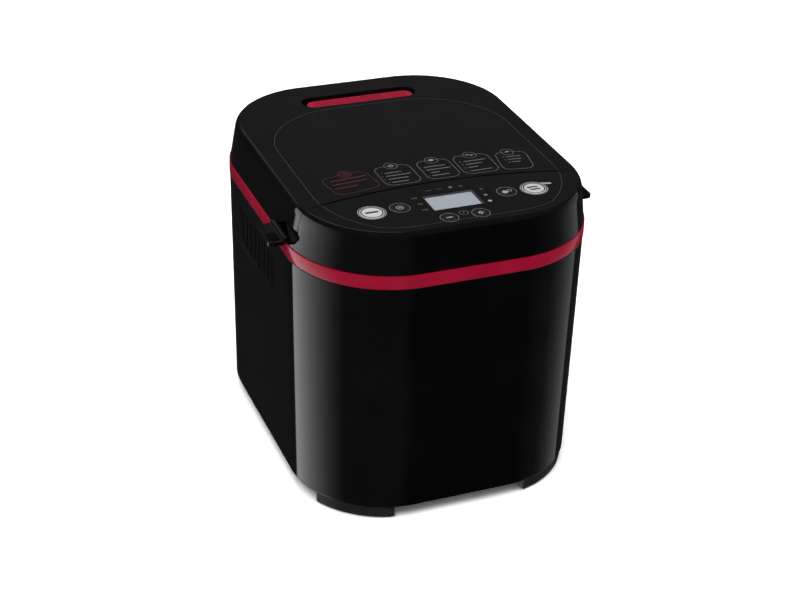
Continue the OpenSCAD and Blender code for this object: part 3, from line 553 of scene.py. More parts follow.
def pull(bm: bmesh.types.BMesh, faces: Sequence[bmesh.types.BMFace], by: Point3) -> None:
    """Extrudes faces and moves their far side.

    Args:
        bm: The mesh.
        faces: The faces.
        by: How far the far side moves.
    """
    made = bmesh.ops.extrude_face_region(bm, geom=list(faces))
    far = [v for v in made["geom"] if isinstance(v, bmesh.types.BMVert)]
    bmesh.ops.translate(bm, vec=by, verts=far)


def rounded_loop(bm: bmesh.types.BMesh, width: float, depth: float, radius: float, z: float,
                 steps: int = 28, centre: Point2 = (0.0, 0.0)) -> List[bmesh.types.BMEdge]:
    """Adds the edge loop of a rounded rectangle.

    Args:
        bm: The mesh to add to.
        width: Size along X.
        depth: Size along Y.
        radius: Corner radius.
        z: Height.
        steps: Segments in each corner.
        centre: Middle of the rectangle.

    Returns:
        The loop's edges.
    """
    face = rounded_face(bm, width, depth, radius, z, steps, centre)
    edges = list(face.edges)
    bmesh.ops.delete(bm, geom=[face], context="FACES_ONLY")
    return edges


def rounded_face(bm: bmesh.types.BMesh, width: float, depth: float, radius: float, z: float,
                 steps: int = 12, centre: Point2 = (0.0, 0.0)) -> bmesh.types.BMFace:
    """Adds a flat rounded rectangle, facing up.

    Args:
        bm: The mesh to add to.
        width: Size along X.
        depth: Size along Y.
        radius: Corner radius.
        z: Height.
        steps: Segments in each corner.
        centre: Middle of the rectangle.

    Returns:
        The face.
    """
    before = set(bm.faces)
    made = bmesh.ops.create_grid(bm, x_segments=1, y_segments=1, size=0.5)
    bmesh.ops.scale(bm, vec=(width, depth, 1.0), verts=made["verts"])
    bmesh.ops.translate(bm, vec=(centre[0], centre[1], z), verts=made["verts"])
    if radius > 0:
        bmesh.ops.bevel(bm, geom=made["verts"], affect="VERTICES", offset=radius, offset_type="OFFSET",
                        segments=steps, profile=0.5, material=-1)
    return next(f for f in bm.faces if f not in before)


def ring_stack(bm: bmesh.types.BMesh, loops: Sequence[List[bmesh.types.BMEdge]],
               closed: bool = False) -> None:
    """Joins edge loops in turn with bands of faces.

    Args:
        bm: The mesh.
        loops: The loops, in order.
        closed: Whether the last loop is joined to the first.
    """
    pairs = list(zip(loops, loops[1:])) + ([(loops[-1], loops[0])] if closed else [])
    for a, b in pairs:
        bmesh.ops.bridge_loops(bm, edges=list(a) + list(b))


def outward(bm: bmesh.types.BMesh) -> None:
    """Merges doubles and points all faces outwards."""
    bmesh.ops.remove_doubles(bm, verts=bm.verts, dist=0.0005)
    bmesh.ops.recalc_face_normals(bm, faces=bm.faces)


def finish_mesh(bm: bmesh.types.BMesh, name: str, scale: float = MM) -> bpy.types.Object:
    """Turns a mesh in millimetres into an object at the origin.

    Args:
        bm: The mesh; it is freed.
        name: The object's name.
        scale: Metres per unit.

    Returns:
        The new object.
    """
    bmesh.ops.scale(bm, vec=(scale, scale, scale), verts=bm.verts)
    mesh = bpy.data.meshes.new(name)
    bm.to_mesh(mesh)
    bm.free()
    obj = bpy.data.objects.new(name, mesh)
    bpy.context.scene.collection.objects.link(obj)
    return obj


def carve(piece: bpy.types.Object, tool: bpy.types.Object,
          how: Cut = Cut.TAKE_AWAY) -> bpy.types.Object:
    """Cuts a piece with a tool mesh and keeps the result as the piece's own mesh.

    Args:
        piece: The piece that is cut.
        tool: The tool; it is removed.
        how: Whether the tool is taken away or added, or only the common part is kept.

    Returns:
        The piece.
    """
    step = piece.modifiers.new("cut", "BOOLEAN")
    step.operation = how.value
    step.solver = "EXACT"
    step.object = tool
    settle(piece)
    bpy.data.objects.remove(tool)
    return piece


def settle(piece: bpy.types.Object) -> bpy.types.Object:
    """Replaces a piece's mesh by the result of its modifiers.

    Args:
        piece: The piece.

    Returns:
        The piece.
    """
    bpy.context.view_layer.update()
    shaped = piece.evaluated_get(bpy.context.evaluated_depsgraph_get())
    mesh = bpy.data.meshes.new_from_object(shaped)
    piece.modifiers.clear()
    old = piece.data
    piece.data = mesh
    bpy.data.meshes.remove(old)
    return piece


def shade(piece: bpy.types.Object, angle: float = 32.0) -> None:
    """Smooths a piece, keeping edges sharper than the angle.

    Args:
        piece: The piece.
        angle: Limit in degrees.
    """
    mesh = piece.data
    mesh.polygons.foreach_set("use_smooth", [True] * len(mesh.polygons))
    mesh.set_sharp_from_angle(angle=math.radians(angle))


def soften(piece: bpy.types.Object, width: float, steps: int = 2, angle: float = 38.0) -> None:
    """Adds a small round to the sharp edges.

    Args:
        piece: The piece.
        width: Width of the round, in millimetres.
        steps: Segments of the round.
        angle: Edges sharper than this, in degrees, are rounded.
    """
    bevel = piece.modifiers.new("edge_round", "BEVEL")
    bevel.width = width * MM
    bevel.segments = steps
    bevel.limit_method = "ANGLE"
    bevel.angle_limit = math.radians(angle)
    bevel.use_clamp_overlap = True
    bevel.harden_normals = True
    level = piece.modifiers.new("even_normals", "WEIGHTED_NORMAL")
    level.keep_sharp = True
    level.weight = 90


def dress(piece: bpy.types.Object, finish: Finish, body: Body,
          nodes: Sequence[str] = ()) -> bpy.types.Object:
    """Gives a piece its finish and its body.

    Args:
        piece: The piece.
        finish: Its finish.
        body: The body it rides on.
        nodes: CAD nodes that it stands for.

    Returns:
        The piece.
    """
    piece.data.materials.clear()
    piece.data.materials.append(finish.material())
    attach(piece, body.value)
    if nodes:
        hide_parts(*nodes)
    LOG.info("piece %s on %s with %s", piece.name, body.value, finish.name)
    return piece


def block(name: str, low: Point3, high: Point3) -> bpy.types.Object:
    """A plain tool block between two corners, in millimetres.

    Args:
        name: Its name.
        low: Lowest corner.
        high: Highest corner.

    Returns:
        The block.
    """
    bm = bmesh.new()
    made = bmesh.ops.create_cube(bm, size=1.0)
    size = [b - a for a, b in zip(low, high)]
    bmesh.ops.scale(bm, vec=size, verts=made["verts"])
    bmesh.ops.translate(bm, vec=[(a + b) / 2 for a, b in zip(low, high)], verts=made["verts"])
    return finish_mesh(bm, name)


def rounded_block(name: str, width: float, depth: float, radius: float, z0: float, z1: float,
                  centre: Point2 = (0.0, 0.0), steps: int = 12) -> bpy.types.Object:
    """An upright prism on a rounded rectangle, in millimetres.

    Args:
        name: Its name.
        width: Size along X.
        depth: Size along Y.
        radius: Corner radius.
        z0: Lower end.
        z1: Upper end.
        centre: Middle of the rectangle.
        steps: Segments in each corner.

    Returns:
        The prism.
    """
    bm = bmesh.new()
    face = rounded_face(bm, width, depth, radius, z0, steps, centre)
    pull(bm, [face], (0, 0, z1 - z0))
    outward(bm)
    return finish_mesh(bm, name)


def joined(name: str, pieces: Sequence[bpy.types.Object]) -> bpy.types.Object:
    """Joins objects at the origin into one mesh.

    Args:
        name: The joined object's name.
        pieces: The objects; they are removed.

    Returns:
        The joined object.
    """
    bm = bmesh.new()
    for piece in pieces:
        bm.from_mesh(piece.data)
        bpy.data.objects.remove(piece)
    return finish_mesh(bm, name, 1.0)


# ---------------------------------------------------------------- the machine's outline


@dataclass(frozen=True)
class Outline:
    """The housing's plan and heights, shared by all shells.

    Attributes:
        width: Size along X at the trim band.
        depth: Size along Y at the trim band.
        corner: Corner radius of the plan.
        floor: Lower edge of the walls.
        wall_top: Upper edge of the walls.
        band_low: Lower edge of the trim band.
        band_high: Upper edge of the trim band.
        lid_low: Lower edge of the lid and control top.
        top: Height of the top face.
        seam: Distance of the walls' seam in front of the middle.
        arc_radius: Radius of the lid's seam.
        arc_at: Distance of that seam in front of the middle, on the top face.
        arc_lean: Lean of that seam in degrees.
    """

    width: float = 293.0
    depth: float = 357.0
    corner: float = 98.0
    floor: float = 12.3
    wall_top: float = 249.9
    band_low: float = 250.3
    band_high: float = 263.6
    lid_low: float = 264.4
    top: float = 304.0
    seam: float = 97.0
    arc_radius: float = 520.0
    arc_at: float = 84.5
    arc_lean: float = 11.5

    def loop(self, bm: bmesh.types.BMesh, side: float, fore: float, aft: float, z: float,
             steps: int = 28) -> List[bmesh.types.BMEdge]:
        """Adds the outline's loop, moved inwards.

        Args:
            bm: The mesh.
            side: How far inwards at the sides.
            fore: How far inwards at the front.
            aft: How far inwards at the rear.
            z: Height.
            steps: Segments in each corner.

        Returns:
            The loop's edges.
        """
        return rounded_loop(bm, self.width - 2 * side, self.depth - fore - aft,
                            self.corner - max(side, fore, aft), z, steps, (0.0, (fore - aft) / 2))

    def solid(self, name: str, levels: Sequence[Level], steps: int = 28) -> bpy.types.Object:
        """A closed form through levels of inset at the sides, front and rear, and height.

        Args:
            name: The object's name.
            levels: The levels, from the bottom up.
            steps: Segments in each corner.

        Returns:
            The closed form.
        """
        bm = bmesh.new()
        loops = [self.loop(bm, *level, steps=steps) for level in levels]
        ring_stack(bm, loops)
        bmesh.ops.holes_fill(bm, edges=loops[0] + loops[-1], sides=0)
        outward(bm)
        return finish_mesh(bm, name)

    def seam_tool(self, grow: float) -> bpy.types.Object:
        """The leaning cylinder in front of the lid's seam.

        Args:
            grow: How much larger than the seam's own radius.

        Returns:
            The tool.
        """
        bm = bmesh.new()
        radius = self.arc_radius + grow
        bmesh.ops.create_cone(bm, cap_ends=True, segments=720, radius1=radius, radius2=radius, depth=160)
        place = (Matrix.Translation((0, -self.arc_at, self.top))
                 @ Matrix.Rotation(math.radians(self.arc_lean), 4, "X")
                 @ Matrix.Translation((0, -self.arc_radius, -20)))
        bmesh.ops.transform(bm, matrix=place, verts=bm.verts)
        return finish_mesh(bm, "seam_tool")


HOUSING = Outline()


def quarter(start: Point2, size: Point2, steps: int) -> List[Point2]:
    """Points of a quarter round from (start + size x, start) to (start, start + size y).

    Args:
        start: The corner's inset and height.
        size: Size of the round along inset and height.
        steps: Number of steps.

    Returns:
        Pairs of inset and height.
    """
    pairs = []
    for i in range(steps + 1):
        a = math.pi / 2 * i / steps
        pairs.append((start[0] + size[0] * (1 - math.sin(a)), start[1] + size[1] * (1 - math.cos(a))))
    return pairs


# ---------------------------------------------------------------- walls


@dataclass
class Walls:
    """Front panel, side and rear wall, trim band and feet.

    Attributes:
        wall: Thickness.
        proud: How far the band stands out from the walls.
        draft_x: How far the sides have leaned in at their foot.
        draft_y: The same at front and rear.
        round_edge: Radius of the lower edge.
        flange: Thickness of the flange at the foot.
        gap: Width of the seam.
        vent_count: Vent pockets on each side.
        vent_pitch: Their spacing.
        vent_size: Their width and height.
        vent_mid: Middle of their row, along Y and Z.
        vent_depth: Their depth.
        vent_field: Depth and margin of the flat field round them.
        slit: A slit's reach, its width, and how much shorter than its pocket it is.
        rebate: Inset and depth of the step inside the upper edge.
        top_edge: Width of the bevel on the upper edge.
        flange_end: How far inwards the flange reaches.
        band_edge: Half of the band's section: inset, and distance from its edge.
        foot: A foot's inner and outer radius, lower end and bevel.
        foot_angles: Where a foot starts and ends, in degrees round its corner.
        gland: Place along X and Z and radius of the cord gland's hole.
    """

    wall: float = 2.8
    proud: float = 0.5
    draft_x: float = 4.5
    draft_y: float = 0.5
    round_edge: float = 3.0
    flange: float = 3.2
    gap: float = 0.6
    vent_count: int = 8
    vent_pitch: float = 13.6
    vent_size: Tuple[float, float] = (9.4, 40.0)
    vent_mid: Tuple[float, float] = (10.8, 210.0)
    vent_depth: float = 1.5
    vent_field: Point2 = (0.7, 1.5)
    slit: Point3 = (8.0, 3.6, 6.0)
    rebate: Point2 = (2.15, 7.0)
    top_edge: float = 0.5
    flange_end: float = 24.5
    band_edge: Tuple[Point2, ...] = ((2.2, 0.0), (0.55, 0.0), (0.16, 0.2), (0.0, 0.7))
    foot: Level = (77.6, 91.0, 1.5, 0.5)
    foot_angles: Tuple[float, float] = (27.0, 78.0)
    gland: Point3 = (34.0, 40.0, 6.6)

    def drafted(self, bm: bmesh.types.BMesh, inset: float, z: float) -> List[bmesh.types.BMEdge]:
        """Adds the outline's loop at the walls' foot, where they have leaned in.

        Args:
            bm: The mesh.
            inset: Extra inset.
            z: Height.

        Returns:
            The loop's edges.
        """
        return HOUSING.loop(bm, inset + self.draft_x, inset + self.draft_y, inset + self.draft_y, z)

    def shell(self, name: str) -> bpy.types.Object:
        """The whole wall as one closed ring-shaped solid.

        Args:
            name: The object's name.

        Returns:
            The wall.
        """
        o = HOUSING
        bm = bmesh.new()
        loops: List[List[bmesh.types.BMEdge]] = []
        for inset, z in quarter((self.proud, o.floor), (self.round_edge, self.round_edge), 6):
            loops.append(self.drafted(bm, inset, z))
        inner, (step, deep) = self.proud + self.wall, self.rebate
        for inset, z in ((self.proud, o.wall_top - self.top_edge),
                         (self.proud + self.top_edge, o.wall_top), (step, o.wall_top),
                         (step, o.wall_top - deep), (inner, o.wall_top - deep)):
            loops.append(o.loop(bm, inset, inset, inset, z))
        low = o.floor + self.flange
        for inset, z in reversed(quarter((inner, low), (self.round_edge, self.round_edge), 3)):
            loops.append(self.drafted(bm, inset, z))
        for z in (low, o.floor):
            loops.append(o.loop(bm, self.flange_end, self.flange_end, self.flange_end, z))
        ring_stack(bm, loops, closed=True)
        outward(bm)
        return finish_mesh(bm, name)

    def part(self, name: str, front: bool) -> bpy.types.Object:
        """One side of the seam: the wall cut by an upright plane and closed again.

        Args:
            name: The object's name.
            front: Whether the front part is kept.

        Returns:
            The wall part.
        """
        piece = self.shell(name)
        bm = bmesh.new()
        bm.from_mesh(piece.data)
        y = (-HOUSING.seam - self.gap / 2 if front else -HOUSING.seam + self.gap / 2) * MM
        cut = bmesh.ops.bisect_plane(bm, geom=whole(bm), dist=1e-7,
                                     plane_co=(0, y, 0), plane_no=(0, 1, 0),
                                     clear_outer=front, clear_inner=not front)
        edges = [e for e in cut["geom_cut"] if isinstance(e, bmesh.types.BMEdge)]
        bmesh.ops.holes_fill(bm, edges=edges, sides=0)
        bmesh.ops.recalc_face_normals(bm, faces=bm.faces)
        bm.to_mesh(piece.data)
        bm.free()
        return piece

    def vents(self) -> List[bpy.types.Object]:
        """Tools for the vent pockets and their slits on both sides.

        Returns:
            The tools.
        """
        o = HOUSING
        y_mid, z_mid = self.vent_mid
        lean = self.draft_x * (o.wall_top - z_mid) / (o.wall_top - o.floor - self.round_edge)
        x = o.width / 2 - self.proud - lean
        tools = []
        width, height = self.vent_size
        reach = self.vent_count * self.vent_pitch - 1
        sunk, margin = self.vent_field
        slit_deep, slit_width, shorter = self.slit
        for side in (-1, 1):
            pockets, slits = [], []
            tools.append(block("vent_field",
                               (side * x - sunk, y_mid - reach / 2, z_mid - height / 2 - margin),
                               (side * x + sunk, y_mid + reach / 2, z_mid + height / 2 + margin)))
            for i in range(self.vent_count):
                y = y_mid + (i - (self.vent_count - 1) / 2) * self.vent_pitch
                for store, deep, w, h in ((pockets, self.vent_depth, width, height),
                                          (slits, slit_deep, slit_width, height - shorter)):
                    low = (side * x - deep, y - w / 2, z_mid - h / 2)
                    high = (side * x + deep, y + w / 2, z_mid + h / 2)
                    store.append(block("vent_tool", low, high))
            tools.append(joined("vent_pockets", pockets))
            tools.append(joined("vent_slits", slits))
        return tools

    def band(self) -> bpy.types.Object:
        """The trim band, a ring with rolled edges.

        Returns:
            The band.
        """
        o = HOUSING
        bm = bmesh.new()
        section = ([(i, o.band_low + z) for i, z in self.band_edge]
                   + [(i, o.band_high - z) for i, z in reversed(self.band_edge)])
        ring_stack(bm, [o.loop(bm, i, i, i, z) for i, z in section], closed=True)
        outward(bm)
        return finish_mesh(bm, "red_trim_band")

    def feet(self) -> bpy.types.Object:
        """The four corner feet, spun round the corners' centres.

        Returns:
            The feet, one mesh.
        """
        o = HOUSING
        bm = bmesh.new()
        cx, cy = o.width / 2 - o.corner, o.depth / 2 - o.corner + self.draft_x - self.draft_y
        start, end = (math.radians(a) for a in self.foot_angles)
        inner, outer, low, edge = self.foot
        section = [(inner, low), (outer - edge, low), (outer, low + edge), (outer, o.floor),
                   (inner, o.floor)]
        verts = [bm.verts.new((r, 0, z)) for r, z in section]
        face = bm.faces.new(verts)
        bmesh.ops.rotate(bm, cent=(0, 0, 0), matrix=Matrix.Rotation(start, 3, "Z"), verts=bm.verts)
        bmesh.ops.spin(bm, geom=[face] + list(face.edges) + verts, cent=(0, 0, 0), axis=(0, 0, 1),
                       angle=end - start, steps=22, use_duplicate=False)
        bmesh.ops.contextual_create(bm, geom=[e for e in bm.edges if e.is_boundary])
        outward(bm)
        bmesh.ops.translate(bm, vec=(cx, cy, 0), verts=bm.verts)
        for axis in ("X", "Y"):
            bmesh.ops.mirror(bm, geom=whole(bm), axis=axis, merge_dist=-1.0)
        bmesh.ops.recalc_face_normals(bm, faces=bm.faces)
        return finish_mesh(bm, "corner_feet")

    def gland_tool(self) -> bpy.types.Object:
        """Makes the tool for the cord gland's hole in the rear wall.

        Returns:
            The tool.
        """
        x, z, radius = self.gland
        lying = Matrix.Rotation(math.pi / 2, 3, "X")
        bm = bmesh.new()
        bmesh.ops.create_cone(bm, cap_ends=True, segments=40, radius1=radius, radius2=radius, depth=30)
        bmesh.ops.rotate(bm, cent=(0, 0, 0), matrix=lying, verts=bm.verts)
        bmesh.ops.translate(bm, vec=(x, HOUSING.depth / 2, z), verts=bm.verts)
        return finish_mesh(bm, "gland_tool")

    def build(self) -> None:
        """Builds and dresses the walls, band and feet."""
        front = self.part("front_wall", True)
        shade(front)
        soften(front, 0.35)
        dress(front, BLACK, Body.BASE, ("front_panel",))
        rear = self.part("side_and_rear_wall", False)
        for tool in self.vents():
            carve(rear, tool)
        carve(rear, self.gland_tool())
        shade(rear)
        soften(rear, 0.3)
        dress(rear, BLACK, Body.BASE, ("body_shell",))
        band = self.band()
        shade(band, 50)
        dress(band, RED, Body.BASE, ("trim_band",))
        feet = self.feet()
        shade(feet)
        soften(feet, 0.8, 3)
        dress(feet, GRAIN, Body.BASE, ("feet",))


# ---------------------------------------------------------------- the top: lid and control housing


@dataclass
class Top:
    """What lid and control housing share: the bevelled form, the seam and the cover plates' recess.

    Attributes:
        wall: Thickness.
        lean: How far the top face lies inwards at the sides, front and rear.
        foot_share: Share of the lean at the lower edge.
        shoulder: Shares of the lean and of the height at which the shoulder starts.
        roundness: Share of a quarter turn that the shoulder runs through.
        gap: Width of the seam.
        plate_x: Half the width of the cover plates.
        plate_span: Their front and rear ends.
        plate_corners: Their rear and front corner radii.
        plate_edge: Least distance from the housing's outline.
        plate_sunk: Depth of their recess.
        finger_at: The finger recess's start along Y, and height over the lid's lower edge.
        finger: Its corners from there along Y and Z, and how they move when it grows.
        finger_round: Radius of its corners.
    """

    wall: float = 2.6
    lean: Point3 = (11.5, 8.5, 13.8)
    foot_share: float = 0.09
    shoulder: Point2 = (0.52, 0.8)
    roundness: float = 0.86
    gap: float = 0.6
    plate_x: float = 120.0
    plate_span: Point2 = (-177.5, 104.0)
    plate_corners: Point2 = (84.0, 97.0)
    plate_edge: float = 15.0
    plate_sunk: float = 0.6
    finger_at: Point2 = (-66.0, 5.4)
    finger: Tuple[Level, ...] = (
        (11.5, 0.0, 2.5, -1.0), (11.5, 1.4, 2.5, 0.0), (-13.0, 12.4, 1.0, 1.0),
        (-39.0, 12.6, -1.0, 1.0), (-41.0, 10.2, -1.0, 0.0), (-37.0, 3.6, -1.0, 0.0),
        (-31.0, 0.0, -1.0, -1.0))
    finger_round: float = 1.6

    def levels(self, inset: float, z0: float, z1: float, steps: int = 10) -> List[Level]:
        """Levels of the top from its lower edge over the rounded shoulder.

        Args:
            inset: Extra inset, for the inner form.
            z0: Lower edge.
            z1: Top face.
            steps: Steps over the shoulder.

        Returns:
            Insets at the sides, front and rear, and height.
        """
        share, high = self.shoulder
        rows = [(self.foot_share, 0.0), (share, high)]
        for i in range(1, steps + 1):
            t = 0.5 * math.pi * self.roundness * i / steps
            full = 0.5 * math.pi * self.roundness
            out = (1 - math.cos(t)) / (1 - math.cos(full))
            rows.append((share + (1 - share) * (0.3 * i / steps + 0.7 * out),
                         high + (1 - high) * math.sin(t) / math.sin(full)))
        side, fore, aft = self.lean
        return [(side * s + inset, fore * s + inset, aft * s + inset, z0 + (z1 - z0) * h) for s, h in rows]

    def outer(self, name: str) -> bpy.types.Object:
        """The outer form."""
        return HOUSING.solid(name, self.levels(0.0, HOUSING.lid_low, HOUSING.top), 36)

    def inner(self, name: str) -> bpy.types.Object:
        """The form of the hollow inside."""
        return HOUSING.solid(name, self.levels(self.wall, HOUSING.lid_low - 1,
                                               HOUSING.top - self.wall, 3), 12)

    def plate_prism(self, name: str, inset: float, z0: float, z1: float) -> bpy.types.Object:
        """A prism on the cover plates' outline.

        Args:
            name: Its name.
            inset: How far inside the outline.
            z0: Lower end.
            z1: Upper end.

        Returns:
            The prism.
        """
        front, rear = self.plate_span[0] + inset, self.plate_span[1] - inset
        middle, length, wide = (front + rear) / 2, rear - front + 200, 2 * (self.plate_x - inset)
        prism = rounded_block(name, wide, length, self.plate_corners[0] - inset, z0, z1,
                              (0.0, middle - 100), 40)
        carve(prism, rounded_block("front_limit", wide, length, self.plate_corners[1] - inset,
                                   z0 - 1, z1 + 1, (0.0, middle + 100), 40), Cut.KEEP_COMMON)
        edge = self.plate_edge + inset
        return carve(prism, rounded_block("edge_limit", HOUSING.width - 2 * edge, HOUSING.depth - 2 * edge,
                                          HOUSING.corner - edge, z0 - 2, z1 + 2, steps=40), Cut.KEEP_COMMON)

    def recess(self) -> bpy.types.Object:
        """Tool for the cover plates' recess."""
        return self.plate_prism("recess_tool", 0.0, HOUSING.top - self.plate_sunk, HOUSING.top + 4)

    def finger_recess(self, grow: float = 0.0, deep: float = 6.0) -> bpy.types.Object:
        """Tool for the finger recesses over the grips, on both sides.

        Args:
            grow: How much larger than the recess.
            deep: How far behind the widest line of the housing it starts.

        Returns:
            The tool.
        """
        y, z = self.finger_at[0], HOUSING.lid_low + self.finger_at[1]
        corners = [(y + a + c * grow, z + b + d * grow) for a, b, c, d in self.finger]
        bm = bmesh.new()
        x = HOUSING.width / 2 - deep
        face = bm.faces.new([bm.verts.new((x, a, b)) for a, b in corners])
        bmesh.ops.bevel(bm, geom=list(face.verts)[2:], affect="VERTICES", offset=self.finger_round,
                        offset_type="OFFSET", segments=5, profile=0.5, material=-1, clamp_overlap=True)
        pull(bm, bm.faces[:], (deep + 10, 0, 0))
        bmesh.ops.recalc_face_normals(bm, faces=bm.faces)
        bmesh.ops.mirror(bm, geom=whole(bm), axis="X", merge_dist=-1.0)
        bmesh.ops.recalc_face_normals(bm, faces=bm.faces)
        return finish_mesh(bm, "finger_tool")


@dataclass
class Lid:
    """The lid with its cover plate, vent strip and grips.

    Attributes:
        form: The shared form.
        well: The well's width, depth and depth below the top.
        well_at: Its distance behind the middle.
        hinge_at: The hinge's place along Y and Z.
        lug: A hinge lug's distance from the middle, length and radius.
        relief: Half length of the rear cut, and its distance under the hinge.
        strip_size: The strip's width, depth, height and corner radius.
        strip_shift: How far it lies to the right of and in front of the well's middle.
        groove: A groove's length, width, end radius and lower end.
        groove_pitch: Spacing of the grooves.
        grip: How far a grip stands out, its length and thickness.
        grip_at: Its distance in front of the middle.
        grip_rise: Its upper face over the lid's lower edge.
        grip_corner: Radius of its corners.
        rib: A rib's width and height.
        rib_row: Number of ribs, their spacing, and the first one's distance from the front end.
        rib_ends: Distance of the ribs' ends from the housing and from the tip.
        rib_sunk: How far they reach into the grip.
    """

    form: Top = field(default_factory=Top)
    well: Tuple[float, float, float] = (122.0, 25.0, 7.0)
    well_at: float = 124.0
    hinge_at: Tuple[float, float] = (172.0, 270.1)
    lug: Tuple[float, float, float] = (36.0, 22.0, 3.7)
    relief: Point2 = (90.0, 3.5)
    strip_size: Level = (113.0, 18.0, 4.6, 8.8)
    strip_shift: Point2 = (1.0, 1.5)
    groove: Level = (100.0, 1.1, 0.5, 2.8)
    groove_pitch: int = 3
    grip: Tuple[float, float, float] = (16.8, 40.0, 4.4)
    grip_at: float = 66.0
    grip_rise: float = 2.6
    grip_corner: float = 4.5
    rib: Point2 = (0.7, 0.35)
    rib_row: Tuple[int, float, float] = (9, 1.8, 3.6)
    rib_ends: Point2 = (4.5, 1.8)
    rib_sunk: float = 0.6

    def shell(self) -> bpy.types.Object:
        """The lid's moulding.

        Returns:
            The moulding.
        """
        form, o = self.form, HOUSING
        lid = carve(form.outer("lid_moulding"), o.seam_tool(form.gap / 2))
        hollow = carve(form.inner("lid_hollow"), o.seam_tool(form.gap / 2 + form.wall))
        carve(hollow, form.finger_recess(1.8, 7.8))
        carve(lid, hollow)
        carve(lid, form.recess())
        width, depth, deep = self.well
        carve(lid, rounded_block("well_tool", width, depth, depth / 2 - 0.02, o.top - deep, o.top + 5,
                                 (0.0, self.well_at), 16))
        carve(lid, form.finger_recess())
        y, z = self.hinge_at
        half, under = self.relief
        carve(lid, block("relief_tool", (-half, y - 1, o.lid_low - 5), (half, y + 20, z - under)))
        x, length, radius = self.lug
        for side in (-1, 1):
            carve(lid, block("lug_tool", (side * x - length / 2 - 0.4, y - 12, z - 12),
                             (side * x + length / 2 + 0.4, y + 12, z + radius + 1)))
        return lid

    def well_lining(self) -> bpy.types.Object:
        """The well's lining: a thin wall and floor under the slot.

        Returns:
            The lining.
        """
        width, depth, deep = self.well
        o = HOUSING
        cup = rounded_block("vent_well", width + 3.8, depth + 3.8, depth / 2 + 1.8,
                            o.top - deep - 2, o.top - 2.7, (0.0, self.well_at), 16)
        carve(cup, rounded_block("cup_tool", width, depth, depth / 2 - 0.02, o.top - deep, o.top + 5,
                                 (0.0, self.well_at), 16))
        return cup

    def strip(self) -> bpy.types.Object:
        """The red strip with its lengthwise grooves.

        Returns:
            The strip.
        """
        o = HOUSING
        z = o.top - self.well[2]
        width, depth, height, corner = self.strip_size
        x, y = self.strip_shift[0], self.well_at - self.strip_shift[1]
        body = rounded_block("vent_strip", width, depth, corner, z, z + height, (x, y), 14)
        length, wide, ends, low = self.groove
        grooves = [rounded_block("groove", length, wide, ends, z + low, z + 9,
                                 (x, y + i * self.groove_pitch), 4) for i in (-2, -1, 0, 1, 2)]
        carve(body, joined("grooves", grooves))
        return body

    def grips(self) -> bpy.types.Object:
        """Both grips: a flat lip with rounded corners.

        Returns:
            The grips, one mesh.
        """
        o = HOUSING
        out, length, thick = self.grip
        side = o.width / 2
        tip, top = side + out, o.lid_low + self.grip_rise
        low = top - thick
        profile = [(side - 3, o.lid_low + 0.4), (side + 0.6, o.lid_low + 0.4), (side + 0.6, low), (tip, low),
                   (tip, top), (side + 3, top), (side + 2, top + 1.6), (side, top + 2.8), (side - 3, top + 3)]
        bm = bmesh.new()
        face = bm.faces.new([bm.verts.new((x, -self.grip_at - length / 2, z)) for x, z in profile])
        pull(bm, [face], (0, length, 0))
        bmesh.ops.recalc_face_normals(bm, faces=bm.faces)
        corner = [e for e in bm.edges
                  if abs(e.verts[0].co.y - e.verts[1].co.y) < 0.01
                  and min(v.co.x for v in e.verts) > tip - 0.01]
        bmesh.ops.bevel(bm, geom=corner, affect="EDGES", offset=self.grip_corner, offset_type="OFFSET",
                        segments=8, profile=0.5, material=-1)
        bmesh.ops.mirror(bm, geom=whole(bm), axis="X", merge_dist=-1.0)
        bmesh.ops.recalc_face_normals(bm, faces=bm.faces)
        return finish_mesh(bm, "side_grips")

    def ribs(self) -> bpy.types.Object:
        """The fine ribs across the front half of both grips.

        Returns:
            The ribs, one mesh to add to the grips.
        """
        out, length, _ = self.grip
        wide, high = self.rib
        count, pitch, first = self.rib_row
        near, far = HOUSING.width / 2 + self.rib_ends[0], HOUSING.width / 2 + out - self.rib_ends[1]
        top, start = HOUSING.lid_low + self.grip_rise, -self.grip_at - length / 2 + first
        bars = [block("rib", (min(side * near, side * far), start + i * pitch, top - self.rib_sunk),
                      (max(side * near, side * far), start + i * pitch + wide, top + high))
                for side in (-1, 1) for i in range(count)]
        return joined("grip_ribs", bars)

    def build(self) -> None:
        """Builds and dresses the lid's pieces."""
        shell = self.shell()
        shade(shell)
        soften(shell, 0.35)
        dress(shell, BLACK, Body.LID, ("lid_shell",))
        well = self.well_lining()
        shade(well)
        dress(well, BLACK, Body.LID)
        strip = self.strip()
        shade(strip)
        soften(strip, 0.3)
        dress(strip, STRIP_RED, Body.LID, ("vent_insert",))
        grips = self.grips()
        shade(grips)
        soften(grips, 0.9, 3, 30)
        carve(grips, self.ribs(), Cut.ADD)
        dress(grips, BLACK, Body.LID, ("lid_grips",))


@dataclass(frozen=True)
class Key:
    """One travelling key.

    Attributes:
        body: The body it rides on.
        node: The CAD node it stands for.
        at: Its centre.
        radius: Its radius.
        silver: Whether it is a large silver key.
        ring: Inner radius of the ring printed round it.
    """

    body: Body
    node: str
    at: Point2
    radius: float
    silver: bool
    ring: float


KEYS: Tuple[Key, ...] = (
    Key(Body.MENU, "menu_button", (-79.5, -126.0), 11.4, True, 12.4),
    Key(Body.LOAF, "loaf_button", (-52.3, -124.5), 8.3, False, 8.9),
    Key(Body.MINUS, "minus_button", (-17.2, -156.0), 7.4, False, 8.0),
    Key(Body.PLUS, "plus_button", (13.3, -156.0), 7.4, False, 8.0),
    Key(Body.CRUST, "crust_button", (53.0, -123.8), 8.3, False, 8.9),
    Key(Body.START, "start_button", (80.0, -125.4), 11.4, True, 12.4),
)


